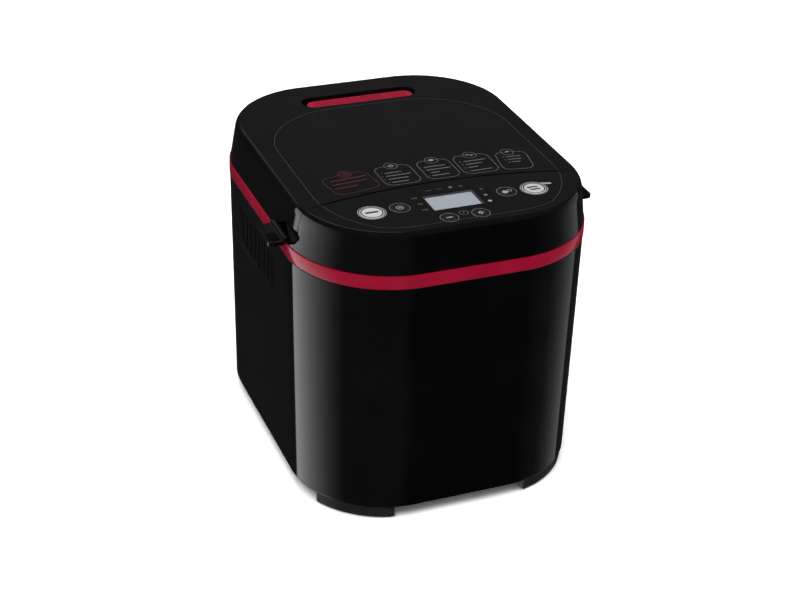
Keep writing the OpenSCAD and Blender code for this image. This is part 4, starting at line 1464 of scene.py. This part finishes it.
def disc(bm: bmesh.types.BMesh, at: Point2, radius: float, z: float,
         segments: int = 64) -> bmesh.types.BMFace:
    """Adds a flat disc.

    Args:
        bm: The mesh.
        at: Its centre.
        radius: Its radius.
        z: Its height.
        segments: Number of sides.

    Returns:
        The face.
    """
    before = set(bm.faces)
    bmesh.ops.create_circle(bm, cap_ends=True, segments=segments, radius=radius,
                            matrix=Matrix.Translation((at[0], at[1], z)))
    return next(f for f in bm.faces if f not in before)


@dataclass
class ControlTop:
    """The control housing with keys and display.

    Attributes:
        form: The shared form.
        display: The display's width and depth.
        display_at: Its distance in front of the middle.
        key_gap: Gap round a key.
        stem: A key's innermost ring, its stem's radius, and its lower end under the collar's top.
        collar: How much wider than the key the collar is, and its thickness.
        panel_margin: How much smaller than the display its panel is.
    """

    form: Top = field(default_factory=Top)
    display: Tuple[float, float] = (50.0, 30.0)
    display_at: float = 124.0
    key_gap: float = 0.3
    stem: Point3 = (0.4, 2.5, 4.2)
    collar: Point2 = (1.2, 1.5)
    panel_margin: float = 3.4

    def housing(self) -> bpy.types.Object:
        """The housing's moulding.

        Returns:
            The moulding.
        """
        form, o = self.form, HOUSING
        piece = carve(form.outer("control_moulding"), o.seam_tool(-form.gap / 2), Cut.KEEP_COMMON)
        hollow = carve(form.inner("control_hollow"), o.seam_tool(-form.gap / 2 - form.wall), Cut.KEEP_COMMON)
        carve(hollow, form.finger_recess(1.8, 7.8))
        carve(piece, hollow)
        carve(piece, form.recess())
        carve(piece, form.finger_recess())
        holes = [self.hole(key) for key in KEYS]
        width, depth = self.display
        holes.append(block("display_hole", (-width / 2 + 2, -self.display_at - depth / 2 + 2, o.top - 9),
                           (width / 2 - 2, -self.display_at + depth / 2 - 2, o.top + 5)))
        carve(piece, joined("hole_tools", holes))
        carve(piece, block("lens_seat", (-width / 2 - 0.1, -self.display_at - depth / 2 - 0.1, o.top - 1.6),
                           (width / 2 + 0.1, -self.display_at + depth / 2 + 0.1, o.top + 5)))
        return piece

    def hole(self, key: Key) -> bpy.types.Object:
        """Tool for a key's hole.

        Args:
            key: The key.

        Returns:
            The tool.
        """
        bm = bmesh.new()
        face = disc(bm, key.at, key.radius + self.key_gap, HOUSING.top - 9)
        pull(bm, [face], (0, 0, 14))
        outward(bm)
        return finish_mesh(bm, "key_hole")

    def cap(self, key: Key) -> bpy.types.Object:
        """A key: cap with a rounded edge and shallow dish, collar and stem.

        Args:
            key: The key.

        Returns:
            The key's cap.
        """
        o = HOUSING
        bm = bmesh.new()
        x, y = key.at
        base = o.top - self.form.wall - 0.2
        core, stem, long = self.stem
        wider, thick = self.collar
        rows = [(core, base - long), (stem, base - long), (stem, base - thick),
                (key.radius + wider, base - thick), (key.radius + wider, base),
                (key.radius, base), (key.radius, o.top + 0.05), (key.radius - 0.12, o.top + 0.28),
                (key.radius - 0.45, o.top + 0.4), (key.radius * 0.86, o.top + 0.37),
                (key.radius * 0.5, o.top + 0.36), (core, o.top + 0.36)]
        rings = []
        for radius, z in rows:
            face = disc(bm, (x, y), radius, z)
            rings.append(list(face.edges))
            bmesh.ops.delete(bm, geom=[face], context="FACES_ONLY")
        ring_stack(bm, rings)
        bmesh.ops.holes_fill(bm, edges=rings[0] + rings[-1], sides=0)
        outward(bm)
        return finish_mesh(bm, key.node.replace("_button", "_cap"))

    def panel(self) -> bpy.types.Object:
        """The display's panel, sunk a little behind its frame.

        Returns:
            The panel.
        """
        width, depth = self.display
        z = HOUSING.top - 1.5
        return rounded_block("display_face", width - self.panel_margin, depth - self.panel_margin,
                             0.6, z - 0.1, z + 0.1, (0.0, -self.display_at), 4)

    def frame(self) -> bpy.types.Object:
        """The display's sloping frame.

        Returns:
            The frame.
        """
        width, depth = self.display
        o = HOUSING
        bm = bmesh.new()
        centre = (0.0, -self.display_at)
        rows = [(0.0, o.top - 1.58), (0.0, o.top - 0.25), (0.5, o.top - 0.25),
                (1.9, o.top - 1.35), (1.9, o.top - 1.58)]
        loops = [rounded_loop(bm, width - 2 * i, depth - 2 * i, 1.2, z, 5, centre) for i, z in rows]
        ring_stack(bm, loops, closed=True)
        outward(bm)
        return finish_mesh(bm, "display_frame")

    def build(self) -> None:
        """Builds and dresses the control top."""
        housing = self.housing()
        shade(housing)
        soften(housing, 0.35)
        dress(housing, BLACK, Body.BASE, ("control_housing",))
        for key in KEYS:
            cap = self.cap(key)
            shade(cap, 40)
            finish = SILVER if key.silver else SLATE
            dress(cap, finish, key.body, (key.node,))
        panel = self.panel()
        shade(panel)
        dress(panel, LCD, Body.BASE, ("display_lens",))
        frame = self.frame()
        shade(frame)
        dress(frame, HOUSED, Body.BASE)


# ---------------------------------------------------------------- prints and a painted edge highlight


@dataclass(frozen=True)
class Card:
    """A printed card on the lid: its outline, sign and list.

    Attributes:
        at: Its centre.
        size: Its width and depth.
        turn: Its rotation in degrees.
        sign_at: Centre of its sign.
        lines: Start along X and Y and length of each bar of its list.
        numbers: The number in front of each bar, or an empty string.
        red: Whether it is printed in red.
    """

    at: Point2
    size: Tuple[float, float]
    turn: float
    sign_at: Point2
    lines: Tuple[Tuple[float, float, float], ...]
    numbers: Tuple[str, ...]
    red: bool = False


CARDS: Tuple[Card, ...] = (
    Card((-76.5, -63.2), (46.5, 37.5), 9.0, (-76.0, -44.2),
         ((-94.0, -55.5, 37.0), (-94.8, -63.3, 36.0), (-95.0, -71.5, 24.0)), (), True),
    Card((-29.3, -60.0), (36.0, 40.0), 1.0, (-28.6, -40.2),
         ((-40.0, -53.9, 17.0), (-41.0, -60.2, 25.0), (-41.0, -67.0, 20.0), (-40.0, -74.0, 16.5)),
         ("1", "2", "3", "4")),
    Card((11.6, -59.6), (33.0, 40.0), 0.0, (12.4, -40.3),
         ((-0.5, -53.0, 22.0), (0.0, -59.4, 24.0), (2.0, -65.6, 9.0), (0.5, -72.0, 18.0)),
         ("5", "6", "", "7")),
    Card((50.0, -59.8), (36.0, 40.0), -1.0, (51.8, -40.6),
         ((40.0, -52.6, 23.0), (40.0, -59.2, 17.0), (40.0, -65.8, 10.0), (39.0, -73.4, 22.0)),
         ("8", "9", "10", "11")),
    Card((88.0, -64.2), (31.0, 38.5), -9.0, (89.0, -45.0),
         ((83.5, -54.8, 14.5), (83.0, -60.9, 13.5), (84.5, -67.0, 9.0)), ("12", "13", "14")),
)


class PrintLayer:
    """Collects flat printed shapes at one height and makes them one mesh."""

    def __init__(self, name: str, z: float) -> None:
        """Starts an empty layer.

        Args:
            name: The layer's name.
            z: Height, in millimetres.
        """
        self.name = name
        self.z = z
        self.bm = bmesh.new()
        self.digits: List[bpy.types.Object] = []

    def ring(self, face: bmesh.types.BMFace, thick: float) -> List[bmesh.types.BMVert]:
        """Keeps only a line of the given thickness along a face's edge.

        Args:
            face: The face.
            thick: The line's thickness.

        Returns:
            The ring's vertices.
        """
        made = bmesh.ops.inset_region(self.bm, faces=[face], thickness=thick,
                                      use_even_offset=True, use_boundary=True)
        keep = {v for f in made["faces"] for v in f.verts}
        bmesh.ops.delete(self.bm, geom=[face], context="FACES_ONLY")
        return list(keep)

    def outline(self, at: Point2, size: Point2, radius: float, thick: float, turn: float = 0.0) -> None:
        """Adds the outline of a rounded rectangle.

        Args:
            at: Its centre.
            size: Its size.
            radius: Corner radius.
            thick: Thickness of the line.
            turn: Rotation in degrees.
        """
        face = rounded_face(self.bm, size[0], size[1], radius, self.z, 10)
        verts = self.ring(face, thick)
        self.settle(verts, at, turn)

    def bar(self, at: Point2, size: Point2, turn: float = 0.0, radius: Optional[float] = None) -> None:
        """Adds a plain bar with rounded ends.

        Args:
            at: Its centre.
            size: Its size.
            turn: Rotation in degrees.
            radius: Radius of its ends.
        """
        r = min(size) * 0.45 if radius is None else radius
        face = rounded_face(self.bm, size[0], size[1], r, self.z, 4)
        self.settle(list(face.verts), at, turn)

    def circle(self, at: Point2, radius: float, thick: float = 0.0) -> None:
        """Adds a disc, or a ring when thick is given.

        Args:
            at: Its centre.
            radius: Its radius.
            thick: Thickness of the line, or 0 for a disc.
        """
        face = disc(self.bm, at, radius, self.z, 56)
        if thick > 0:
            self.ring(face, thick)

    def settle(self, verts: List[bmesh.types.BMVert], at: Point2, turn: float) -> None:
        """Turns and moves new vertices to their place.

        Args:
            verts: The vertices.
            at: The place.
            turn: Rotation in degrees.
        """
        around = Matrix.Rotation(math.radians(turn), 3, "Z")
        bmesh.ops.rotate(self.bm, cent=(0, 0, 0), matrix=around, verts=verts)
        bmesh.ops.translate(self.bm, vec=(at[0], at[1], 0), verts=verts)

    def number(self, digits: str, at: Point2, height: float, turn: float = 0.0) -> None:
        """Adds plain digits.

        Args:
            digits: The digits.
            at: Their centre.
            height: Their height.
            turn: Rotation in degrees.
        """
        curve = bpy.data.curves.new("digits", "FONT")
        curve.body = digits
        curve.size = height * 1.35 * MM
        curve.align_x = "CENTER"
        curve.align_y = "CENTER"
        curve.resolution_u = 2
        text = bpy.data.objects.new("digits", curve)
        bpy.context.scene.collection.objects.link(text)
        bpy.context.view_layer.update()
        shaped = text.evaluated_get(bpy.context.evaluated_depsgraph_get())
        mesh = bpy.data.meshes.new_from_object(shaped)
        mesh.transform(Matrix.Translation((at[0] * MM, at[1] * MM, self.z * MM))
                       @ Matrix.Rotation(math.radians(turn), 4, "Z"))
        bpy.data.objects.remove(text)
        flat = bpy.data.objects.new("digits", mesh)
        bpy.context.scene.collection.objects.link(flat)
        self.digits.append(flat)

    def finish(self, ink: Finish, body: Body, slot: str) -> bpy.types.Object:
        """Makes the layer one piece.

        Args:
            ink: Its finish.
            body: The body it rides on.
            slot: The record's slot; not used.

        Returns:
            The piece.
        """
        bmesh.ops.recalc_face_normals(self.bm, faces=self.bm.faces)
        for face in self.bm.faces:
            if face.normal.z < 0:
                face.normal_flip()
        flat = finish_mesh(self.bm, self.name + "_shapes")
        piece = joined(self.name, [flat] + self.digits)
        return dress(piece, ink, body)


@dataclass
class Prints:
    """All prints on the cover plates and keys, and a painted highlight line along the cover plates' edge.

    Attributes:
        plate: Height of the prints on the cover plates.
        cap: Height of the marks on the keys.
        line: Thickness of the cards' lines.
    """

    plate: float = 304.24
    cap: float = 304.395
    line: float = 0.55

    def cards(self) -> None:
        """The five cards on the lid with outlines, signs and lists."""
        grey = PrintLayer("card_outlines", self.plate)
        red = PrintLayer("card_outline_red", self.plate)
        text = PrintLayer("card_lists", self.plate)
        red_text = PrintLayer("card_list_red", self.plate)
        for card in CARDS:
            lines, words = (red, red_text) if card.red else (grey, text)
            lines.outline(card.at, card.size, 8.5, self.line, card.turn)
            lines.circle(card.sign_at, 6.7, self.line)
            for i, (x, y, length) in enumerate(card.lines):
                slope = math.radians(card.turn if abs(card.turn) > 5 else 0.0)
                mid = (x + length / 2 * math.cos(slope), y + length / 2 * math.sin(slope) * 0.6)
                words.bar(mid, (length, 1.25), card.turn * 0.6)
                if i < len(card.numbers) and card.numbers[i]:
                    words.number(card.numbers[i], (x - 3.0, y), 2.3, card.turn * 0.6)
        signs = PrintLayer("card_signs", self.plate)
        signs.circle(CARDS[1].sign_at, 2.6, 0.6)
        signs.bar(CARDS[1].sign_at, (3.2, 0.7), 45)
        x, y = CARDS[2].sign_at
        signs.bar((x, y + 0.4), (4.6, 3.6), 0, 0.8)
        x, y = CARDS[3].sign_at
        signs.bar((x - 0.6, y + 0.6), (5.4, 1.5), -28)
        signs.bar((x + 1.8, y - 0.8), (2.4, 1.3), 35)
        x, y = CARDS[4].sign_at
        signs.bar((x, y), (4.4, 1.4), 12)
        signs.bar((x + 0.4, y + 1.4), (1.3, 2.0), 0)
        red_sign = PrintLayer("card_sign_red", self.plate)
        x, y = CARDS[0].sign_at
        red_sign.circle((x, y), 4.6, 0.5)
        red_sign.bar((x, y), (1.2, 5.4), 18)
        red_sign.bar((x + 1.6, y + 0.4), (0.9, 3.6), -24)
        grey.finish(INK_GREY, Body.LID, "black_panel")
        text.finish(INK_GREY, Body.LID, "black_panel")
        signs.finish(INK_PALE, Body.LID, "black_panel")
        red.finish(INK_RED, Body.LID, "black_panel")
        red_text.finish(INK_RED, Body.LID, "black_panel")
        red_sign.finish(INK_RED, Body.LID, "black_panel")

    def panel(self) -> None:
        """The marks round the display and the keys' rings."""
        pale = PrintLayer("panel_marks_pale", self.plate)
        grey = PrintLayer("panel_marks_grey", self.plate)
        dim = PrintLayer("panel_marks_dim", self.plate)
        for word, y, x in (("500", -111.2, -33.0), ("750", -123.5, -32.0), ("1000", -135.4, -32.2)):
            grey.number(word, (x, y), 2.6)
        for at, layer in (((32.9, -111.8), dim), ((31.8, -124.0), grey), ((30.9, -136.4), pale)):
            layer.circle(at, 1.9)
        dim.bar((-14.5, -100.2), (7.0, 1.2))
        dim.bar((-4.4, -100.0), (6.2, 1.2))
        grey.circle((7.2, -99.7), 1.7)
        dim.circle((17.2, -99.9), 1.7)
        grey.circle((-1.4, -151.2), 4.4, 0.45)
        grey.bar((-0.9, -150.2), (0.5, 2.6), 0)
        grey.bar((-2.2, -151.4), (2.4, 0.5), 0)
        for key in KEYS:
            layer, thick = (pale, 0.75) if key.silver else (grey, 0.7)
            layer.circle(key.at, key.ring + thick, thick)
        x, y = KEYS[5].at
        pale.bar((x + 14.6, y + 6.4), (11.0, 3.4), -14, 1.5)
        pale.finish(INK_PALE, Body.BASE, "black_panel")
        grey.finish(INK_GREY, Body.BASE, "black_panel")
        dim.finish(DIM_INK_AND_PAINTED_EDGE_HIGHLIGHT, Body.BASE, "black_panel")

    def caps(self) -> None:
        """The marks on the keys themselves."""
        marks: Dict[str, Callable[[PrintLayer, Point2], None]] = {
            "menu_button": lambda p, c: (p.circle(c, 10.5, 1.3),
                                         p.bar((c[0], c[1] + 0.4), (12.8, 3.0), 0)),
            "start_button": lambda p, c: (p.circle(c, 10.5, 1.3),
                                          p.bar((c[0] - 0.6, c[1] + 2.8), (11.0, 2.6), 0),
                                          p.bar((c[0] + 0.4, c[1] - 2.0), (10.4, 2.6), 0)),
            "loaf_button": lambda p, c: (p.circle(c, 3.6, 0.8), p.bar(c, (3.4, 1.4), 20)),
            "minus_button": lambda p, c: (p.bar(c, (6.2, 1.6), 0), ),
            "plus_button": lambda p, c: (p.bar(c, (6.2, 1.6), 0), p.bar(c, (1.6, 6.2), 0)),
            "crust_button": lambda p, c: (p.circle((c[0] - 1.8, c[1] - 0.6), 2.9),
                                          p.circle((c[0] + 3.2, c[1] + 1.0), 2.2, 0.6)),
        }
        for key in KEYS:
            layer = PrintLayer(key.node.replace("_button", "_mark"), self.cap)
            marks[key.node](layer, key.at)
            ink = INK_BLACK if key.silver else INK_PALE
            layer.finish(ink, key.body, "key_dark")

    def painted_edge_highlight(self) -> None:
        """A painted highlight: a fine dim grey line along the cover plates' edge, where that edge catches
        light.
        """
        form = Top()
        for name, body, grow, how in (("lid_painted_edge_highlight", Body.LID, 0.9, Cut.TAKE_AWAY),
                                      ("control_painted_edge_highlight", Body.BASE, -0.9, Cut.KEEP_COMMON)):
            outer = form.plate_prism(name, 0.35, self.plate - 0.02, self.plate + 0.01)
            carve(outer, form.plate_prism("edge_highlight_inside", 0.95, self.plate - 1, self.plate + 1))
            carve(outer, HOUSING.seam_tool(grow), how)
            outer.name = name
            # Painted highlight: this dim grey line stands in for the light that the cover plates' edge
            # catches.
            dress(outer, DIM_INK_AND_PAINTED_EDGE_HIGHLIGHT, body)

    def build(self) -> None:
        """Builds all prints and the painted edge highlight."""
        self.cards()
        self.panel()
        self.caps()
        self.painted_edge_highlight()


# ---------------------------------------------------------------- the frame's own nodes


@dataclass
class FrameDress:
    """Gives every CAD node the finish of its slot."""

    record: Dict[str, Any]
    nodes: Dict[str, bpy.types.Object]

    def build(self) -> None:
        """Assigns the finishes."""
        slots = {entry["node"]: entry["material_slot"] for entry in self.record["subparts"]}
        for name, node in self.nodes.items():
            finish = SLOT_FINISH[slots[name]]
            node.data.materials.clear()
            node.data.materials.append(finish.material())
            LOG.info("node %s with %s", name, finish.name)


# ---------------------------------------------------------------- studio


@dataclass(frozen=True)
class Softbox:
    """A stretch of the surround that glows, soft on one side and sharp on the other.

    Attributes:
        fade: Direction of the soft end in degrees, from the front towards the machine's left.
        edge: Direction of the sharp end, where the glow is strongest.
        strength: Brightness at the sharp end.
    """

    fade: float
    edge: float
    strength: float


@dataclass
class Studio:
    """Camera, lamps, floor and cards of the studio.

    Attributes:
        eye: Place of the camera.
        right: Direction to the right in its picture.
        up: Direction upwards in its picture.
        lens: Focal length in millimetres.
        shift: Shift of its picture.
        room: The room's brightness for all but camera and glossy rays.
        sky: Its brightness in reflections.
        surround_top: Upper edge of the surround in metres.
        dim: Brightness of the surround between softboxes and flag.
        rear: Its brightness at the rear, between the sharp ends.
        left_box: The softbox on the left.
        right_box: The softbox on the right.
        flag: Directions between which the surround is darkest.
        floor_seen: The floor's colour as only the camera sees it.
    """

    eye: Point3 = (-0.5876, -1.4363, 1.0135)
    right: Point3 = (0.931, -0.3638, 0.0291)
    up: Point3 = (0.1499, 0.454, 0.8783)
    lens: float = 79.61
    shift: Point2 = (0.001, -0.0415)
    room: float = 0.3
    sky: float = 0.075
    surround_top: float = 0.9
    dim: float = 0.045
    rear: float = 0.024
    left_box: Softbox = Softbox(60.0, 138.0, 1.7)
    right_box: Softbox = Softbox(304.0, 253.0, 0.36)
    flag: Point2 = (330.0, 345.0)
    floor_seen: float = 1.75

    def camera(self) -> None:
        """Sets the camera."""
        data = bpy.data.cameras.new("studio_camera")
        data.sensor_width = 36.0
        data.lens = self.lens
        data.shift_x, data.shift_y = self.shift
        data.clip_end = 20.0
        cam = bpy.data.objects.new("studio_camera", data)
        right, up = Vector(self.right).normalized(), Vector(self.up)
        up = (up - right * up.dot(right)).normalized()
        back = right.cross(up)
        turn = Matrix((right, up, back)).transposed().to_4x4()
        cam.matrix_world = Matrix.Translation(self.eye) @ turn
        bpy.context.scene.collection.objects.link(cam)
        bpy.context.scene.camera = cam

    def lamp(self, name: str, at: Point3, aim: Point3, size: Point2, power: float) -> None:
        """Adds a soft rectangular lamp that reflections don't show.

        Args:
            name: Its name.
            at: Its place.
            aim: The point it looks at.
            size: Its size in metres.
            power: Its power in watts.
        """
        data = bpy.data.lights.new(name, "AREA")
        data.shape = "RECTANGLE"
        data.size, data.size_y = size
        data.energy = power
        lamp = bpy.data.objects.new(name, data)
        lamp.location = at
        lamp.rotation_euler = (Vector(aim) - Vector(at)).to_track_quat("-Z", "Y").to_euler()
        lamp.visible_glossy = False
        bpy.context.scene.collection.objects.link(lamp)

    def world(self) -> None:
        """A dim room that the camera sees as white and reflections see as dark grey."""
        world = bpy.data.worlds.new("studio_world")
        world.use_nodes = True
        tree = world.node_tree
        tree.nodes.clear()
        out = tree.nodes.new("ShaderNodeOutputWorld")
        path = tree.nodes.new("ShaderNodeLightPath")
        last = None
        for strength, ray in ((self.room, None), (self.sky, "Is Glossy Ray"),
                              (1.0, "Is Camera Ray")):
            light = tree.nodes.new("ShaderNodeBackground")
            light.inputs["Color"].default_value = (1.0, 1.0, 1.0, 1.0)
            light.inputs["Strength"].default_value = strength
            if last is None:
                last = light.outputs[0]
                continue
            mix = tree.nodes.new("ShaderNodeMixShader")
            tree.links.new(path.outputs[ray], mix.inputs[0])
            tree.links.new(last, mix.inputs[1])
            tree.links.new(light.outputs[0], mix.inputs[2])
            last = mix.outputs[0]
        tree.links.new(last, out.inputs["Surface"])
        bpy.context.scene.world = world

    @staticmethod
    def only_reflected(piece: bpy.types.Object) -> None:
        """Makes a studio piece show in reflections only.

        Args:
            piece: The piece.
        """
        piece.visible_camera = False
        piece.visible_diffuse = False
        piece.visible_shadow = False
        piece.visible_transmission = False
        piece.visible_volume_scatter = False

    def surround(self) -> None:
        """A tall open drum with a softbox on each side and a dark flag in front."""
        bm = bmesh.new()
        bmesh.ops.create_cone(bm, cap_ends=False, segments=180, radius1=3.0, radius2=3.0, depth=7.0)
        bmesh.ops.translate(bm, vec=(0, 0, self.surround_top - 3.5), verts=bm.verts)
        drum = finish_mesh(bm, "studio_surround", 1.0)
        sheet = NodeSheet("studio_surround_light")
        where = sheet.add("ShaderNodeTexCoord")
        axes = sheet.add("ShaderNodeSeparateXYZ")
        sheet.join(where.outputs["Object"], axes.inputs[0])
        angle = sheet.add("ShaderNodeMath", operation="ARCTAN2")
        sheet.join(axes.outputs["X"], angle.inputs[0])
        sheet.join(axes.outputs["Y"], angle.inputs[1])
        turn = sheet.span(angle.outputs[0], 0.0, 1.0, -math.pi, math.pi)
        ramp = sheet.add("ShaderNodeValToRGB")
        ramp.color_ramp.interpolation = "EASE"
        left, right, sharp = self.left_box, self.right_box, 1.5
        peak = left.strength
        ends = ramp.color_ramp.elements
        ends[0].color = ends[1].color = (self.dim / peak,) * 3 + (1.0,)
        stops = ((left.fade, self.dim), (left.edge, left.strength),
                 (left.edge + sharp, self.rear), (right.edge - sharp, self.rear),
                 (right.edge, right.strength), (right.fade, self.dim),
                 (self.flag[0], 0.0), (self.flag[1], 0.0))
        for degrees, level in stops:
            ends.new(degrees / 360.0).color = (level / peak,) * 3 + (1.0,)
        sheet.join(turn, ramp.inputs["Fac"])
        glow = sheet.add("ShaderNodeEmission", Strength=peak)
        sheet.join(ramp.outputs["Color"], glow.inputs["Color"])
        sheet.join(glow.outputs[0], sheet.output.inputs["Surface"])
        drum.data.materials.append(sheet.material)
        self.only_reflected(drum)

    def card(self, name: str, azimuth: float, height: float, size: Point2, strength: float) -> None:
        """Adds a bright card that only reflections see.

        Args:
            name: Its name.
            azimuth: Its direction in degrees, from the front towards the machine's left.
            height: Its height in degrees above the horizon.
            size: Width and height in metres.
            strength: Its brightness.
        """
        a, h = math.radians(azimuth), math.radians(height)
        way = Vector((-math.sin(a) * math.cos(h), -math.cos(a) * math.cos(h), math.sin(h)))
        bm = bmesh.new()
        bmesh.ops.create_grid(bm, x_segments=1, y_segments=1, size=0.5)
        bmesh.ops.scale(bm, vec=(size[0], size[1], 1.0), verts=bm.verts)
        turn = (-way).to_track_quat("Z", "Y").to_matrix().to_4x4()
        place = Matrix.Translation(way * 2.6 + Vector((0, 0, 0.3)))
        bmesh.ops.transform(bm, matrix=place @ turn, verts=bm.verts)
        card = finish_mesh(bm, name, 1.0)
        sheet = NodeSheet(name + "_light")
        glow = sheet.add("ShaderNodeEmission", Strength=strength)
        sheet.join(glow.outputs[0], sheet.output.inputs["Surface"])
        card.data.materials.append(sheet.material)
        self.only_reflected(card)

    def floor(self) -> None:
        """A pale floor with the machine's shadow on it, brighter to the camera than it is."""
        bm = bmesh.new()
        bmesh.ops.create_grid(bm, x_segments=1, y_segments=1, size=6.0)
        floor = finish_mesh(bm, "studio_floor", 1.0)
        sheet = NodeSheet("studio_floor_paper")
        paper = sheet.add("ShaderNodeBsdfDiffuse", Color=(0.93, 0.93, 0.93, 1.0))
        seen = sheet.add("ShaderNodeBsdfDiffuse", Color=(*(self.floor_seen,) * 3, 1.0))
        path = sheet.add("ShaderNodeLightPath")
        mix = sheet.add("ShaderNodeMixShader")
        sheet.join(path.outputs["Is Camera Ray"], mix.inputs[0])
        sheet.join(paper.outputs[0], mix.inputs[1])
        sheet.join(seen.outputs[0], mix.inputs[2])
        sheet.join(mix.outputs[0], sheet.output.inputs["Surface"])
        floor.data.materials.append(sheet.material)
        floor.visible_glossy = False

    def build(self) -> None:
        """Builds the studio."""
        self.camera()
        self.world()
        self.floor()
        self.surround()
        self.card("studio_card_above", 188.0, 50.0, (1.1, 0.9), 1.6)
        self.card("studio_card_behind", 166.0, 26.0, (0.9, 0.5), 0.3)
        self.lamp("key_lamp", (-0.9, -0.9, 1.9), (0.0, 0.0, 0.15), (1.4, 1.4), 22.0)
        self.lamp("fill_lamp", (1.4, -0.6, 1.5), (0.0, 0.0, 0.15), (1.2, 1.2), 12.0)
        self.lamp("top_lamp", (0.0, 0.5, 2.2), (0.0, 0.0, 0.2), (1.8, 1.2), 16.0)


def main() -> None:
    """Builds the machine and the studio in order."""
    logging.basicConfig(level=logging.INFO, format="%(name)s: %(message)s")
    bpy.context.scene.view_settings.view_transform = "Standard"
    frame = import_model()
    FrameDress(frame["record"], frame["nodes"]).build()
    Walls().build()
    Lid().build()
    ControlTop().build()
    Prints().build()
    Studio().build()
    LOG.info("built")


if __name__ == "__main__":
    main()
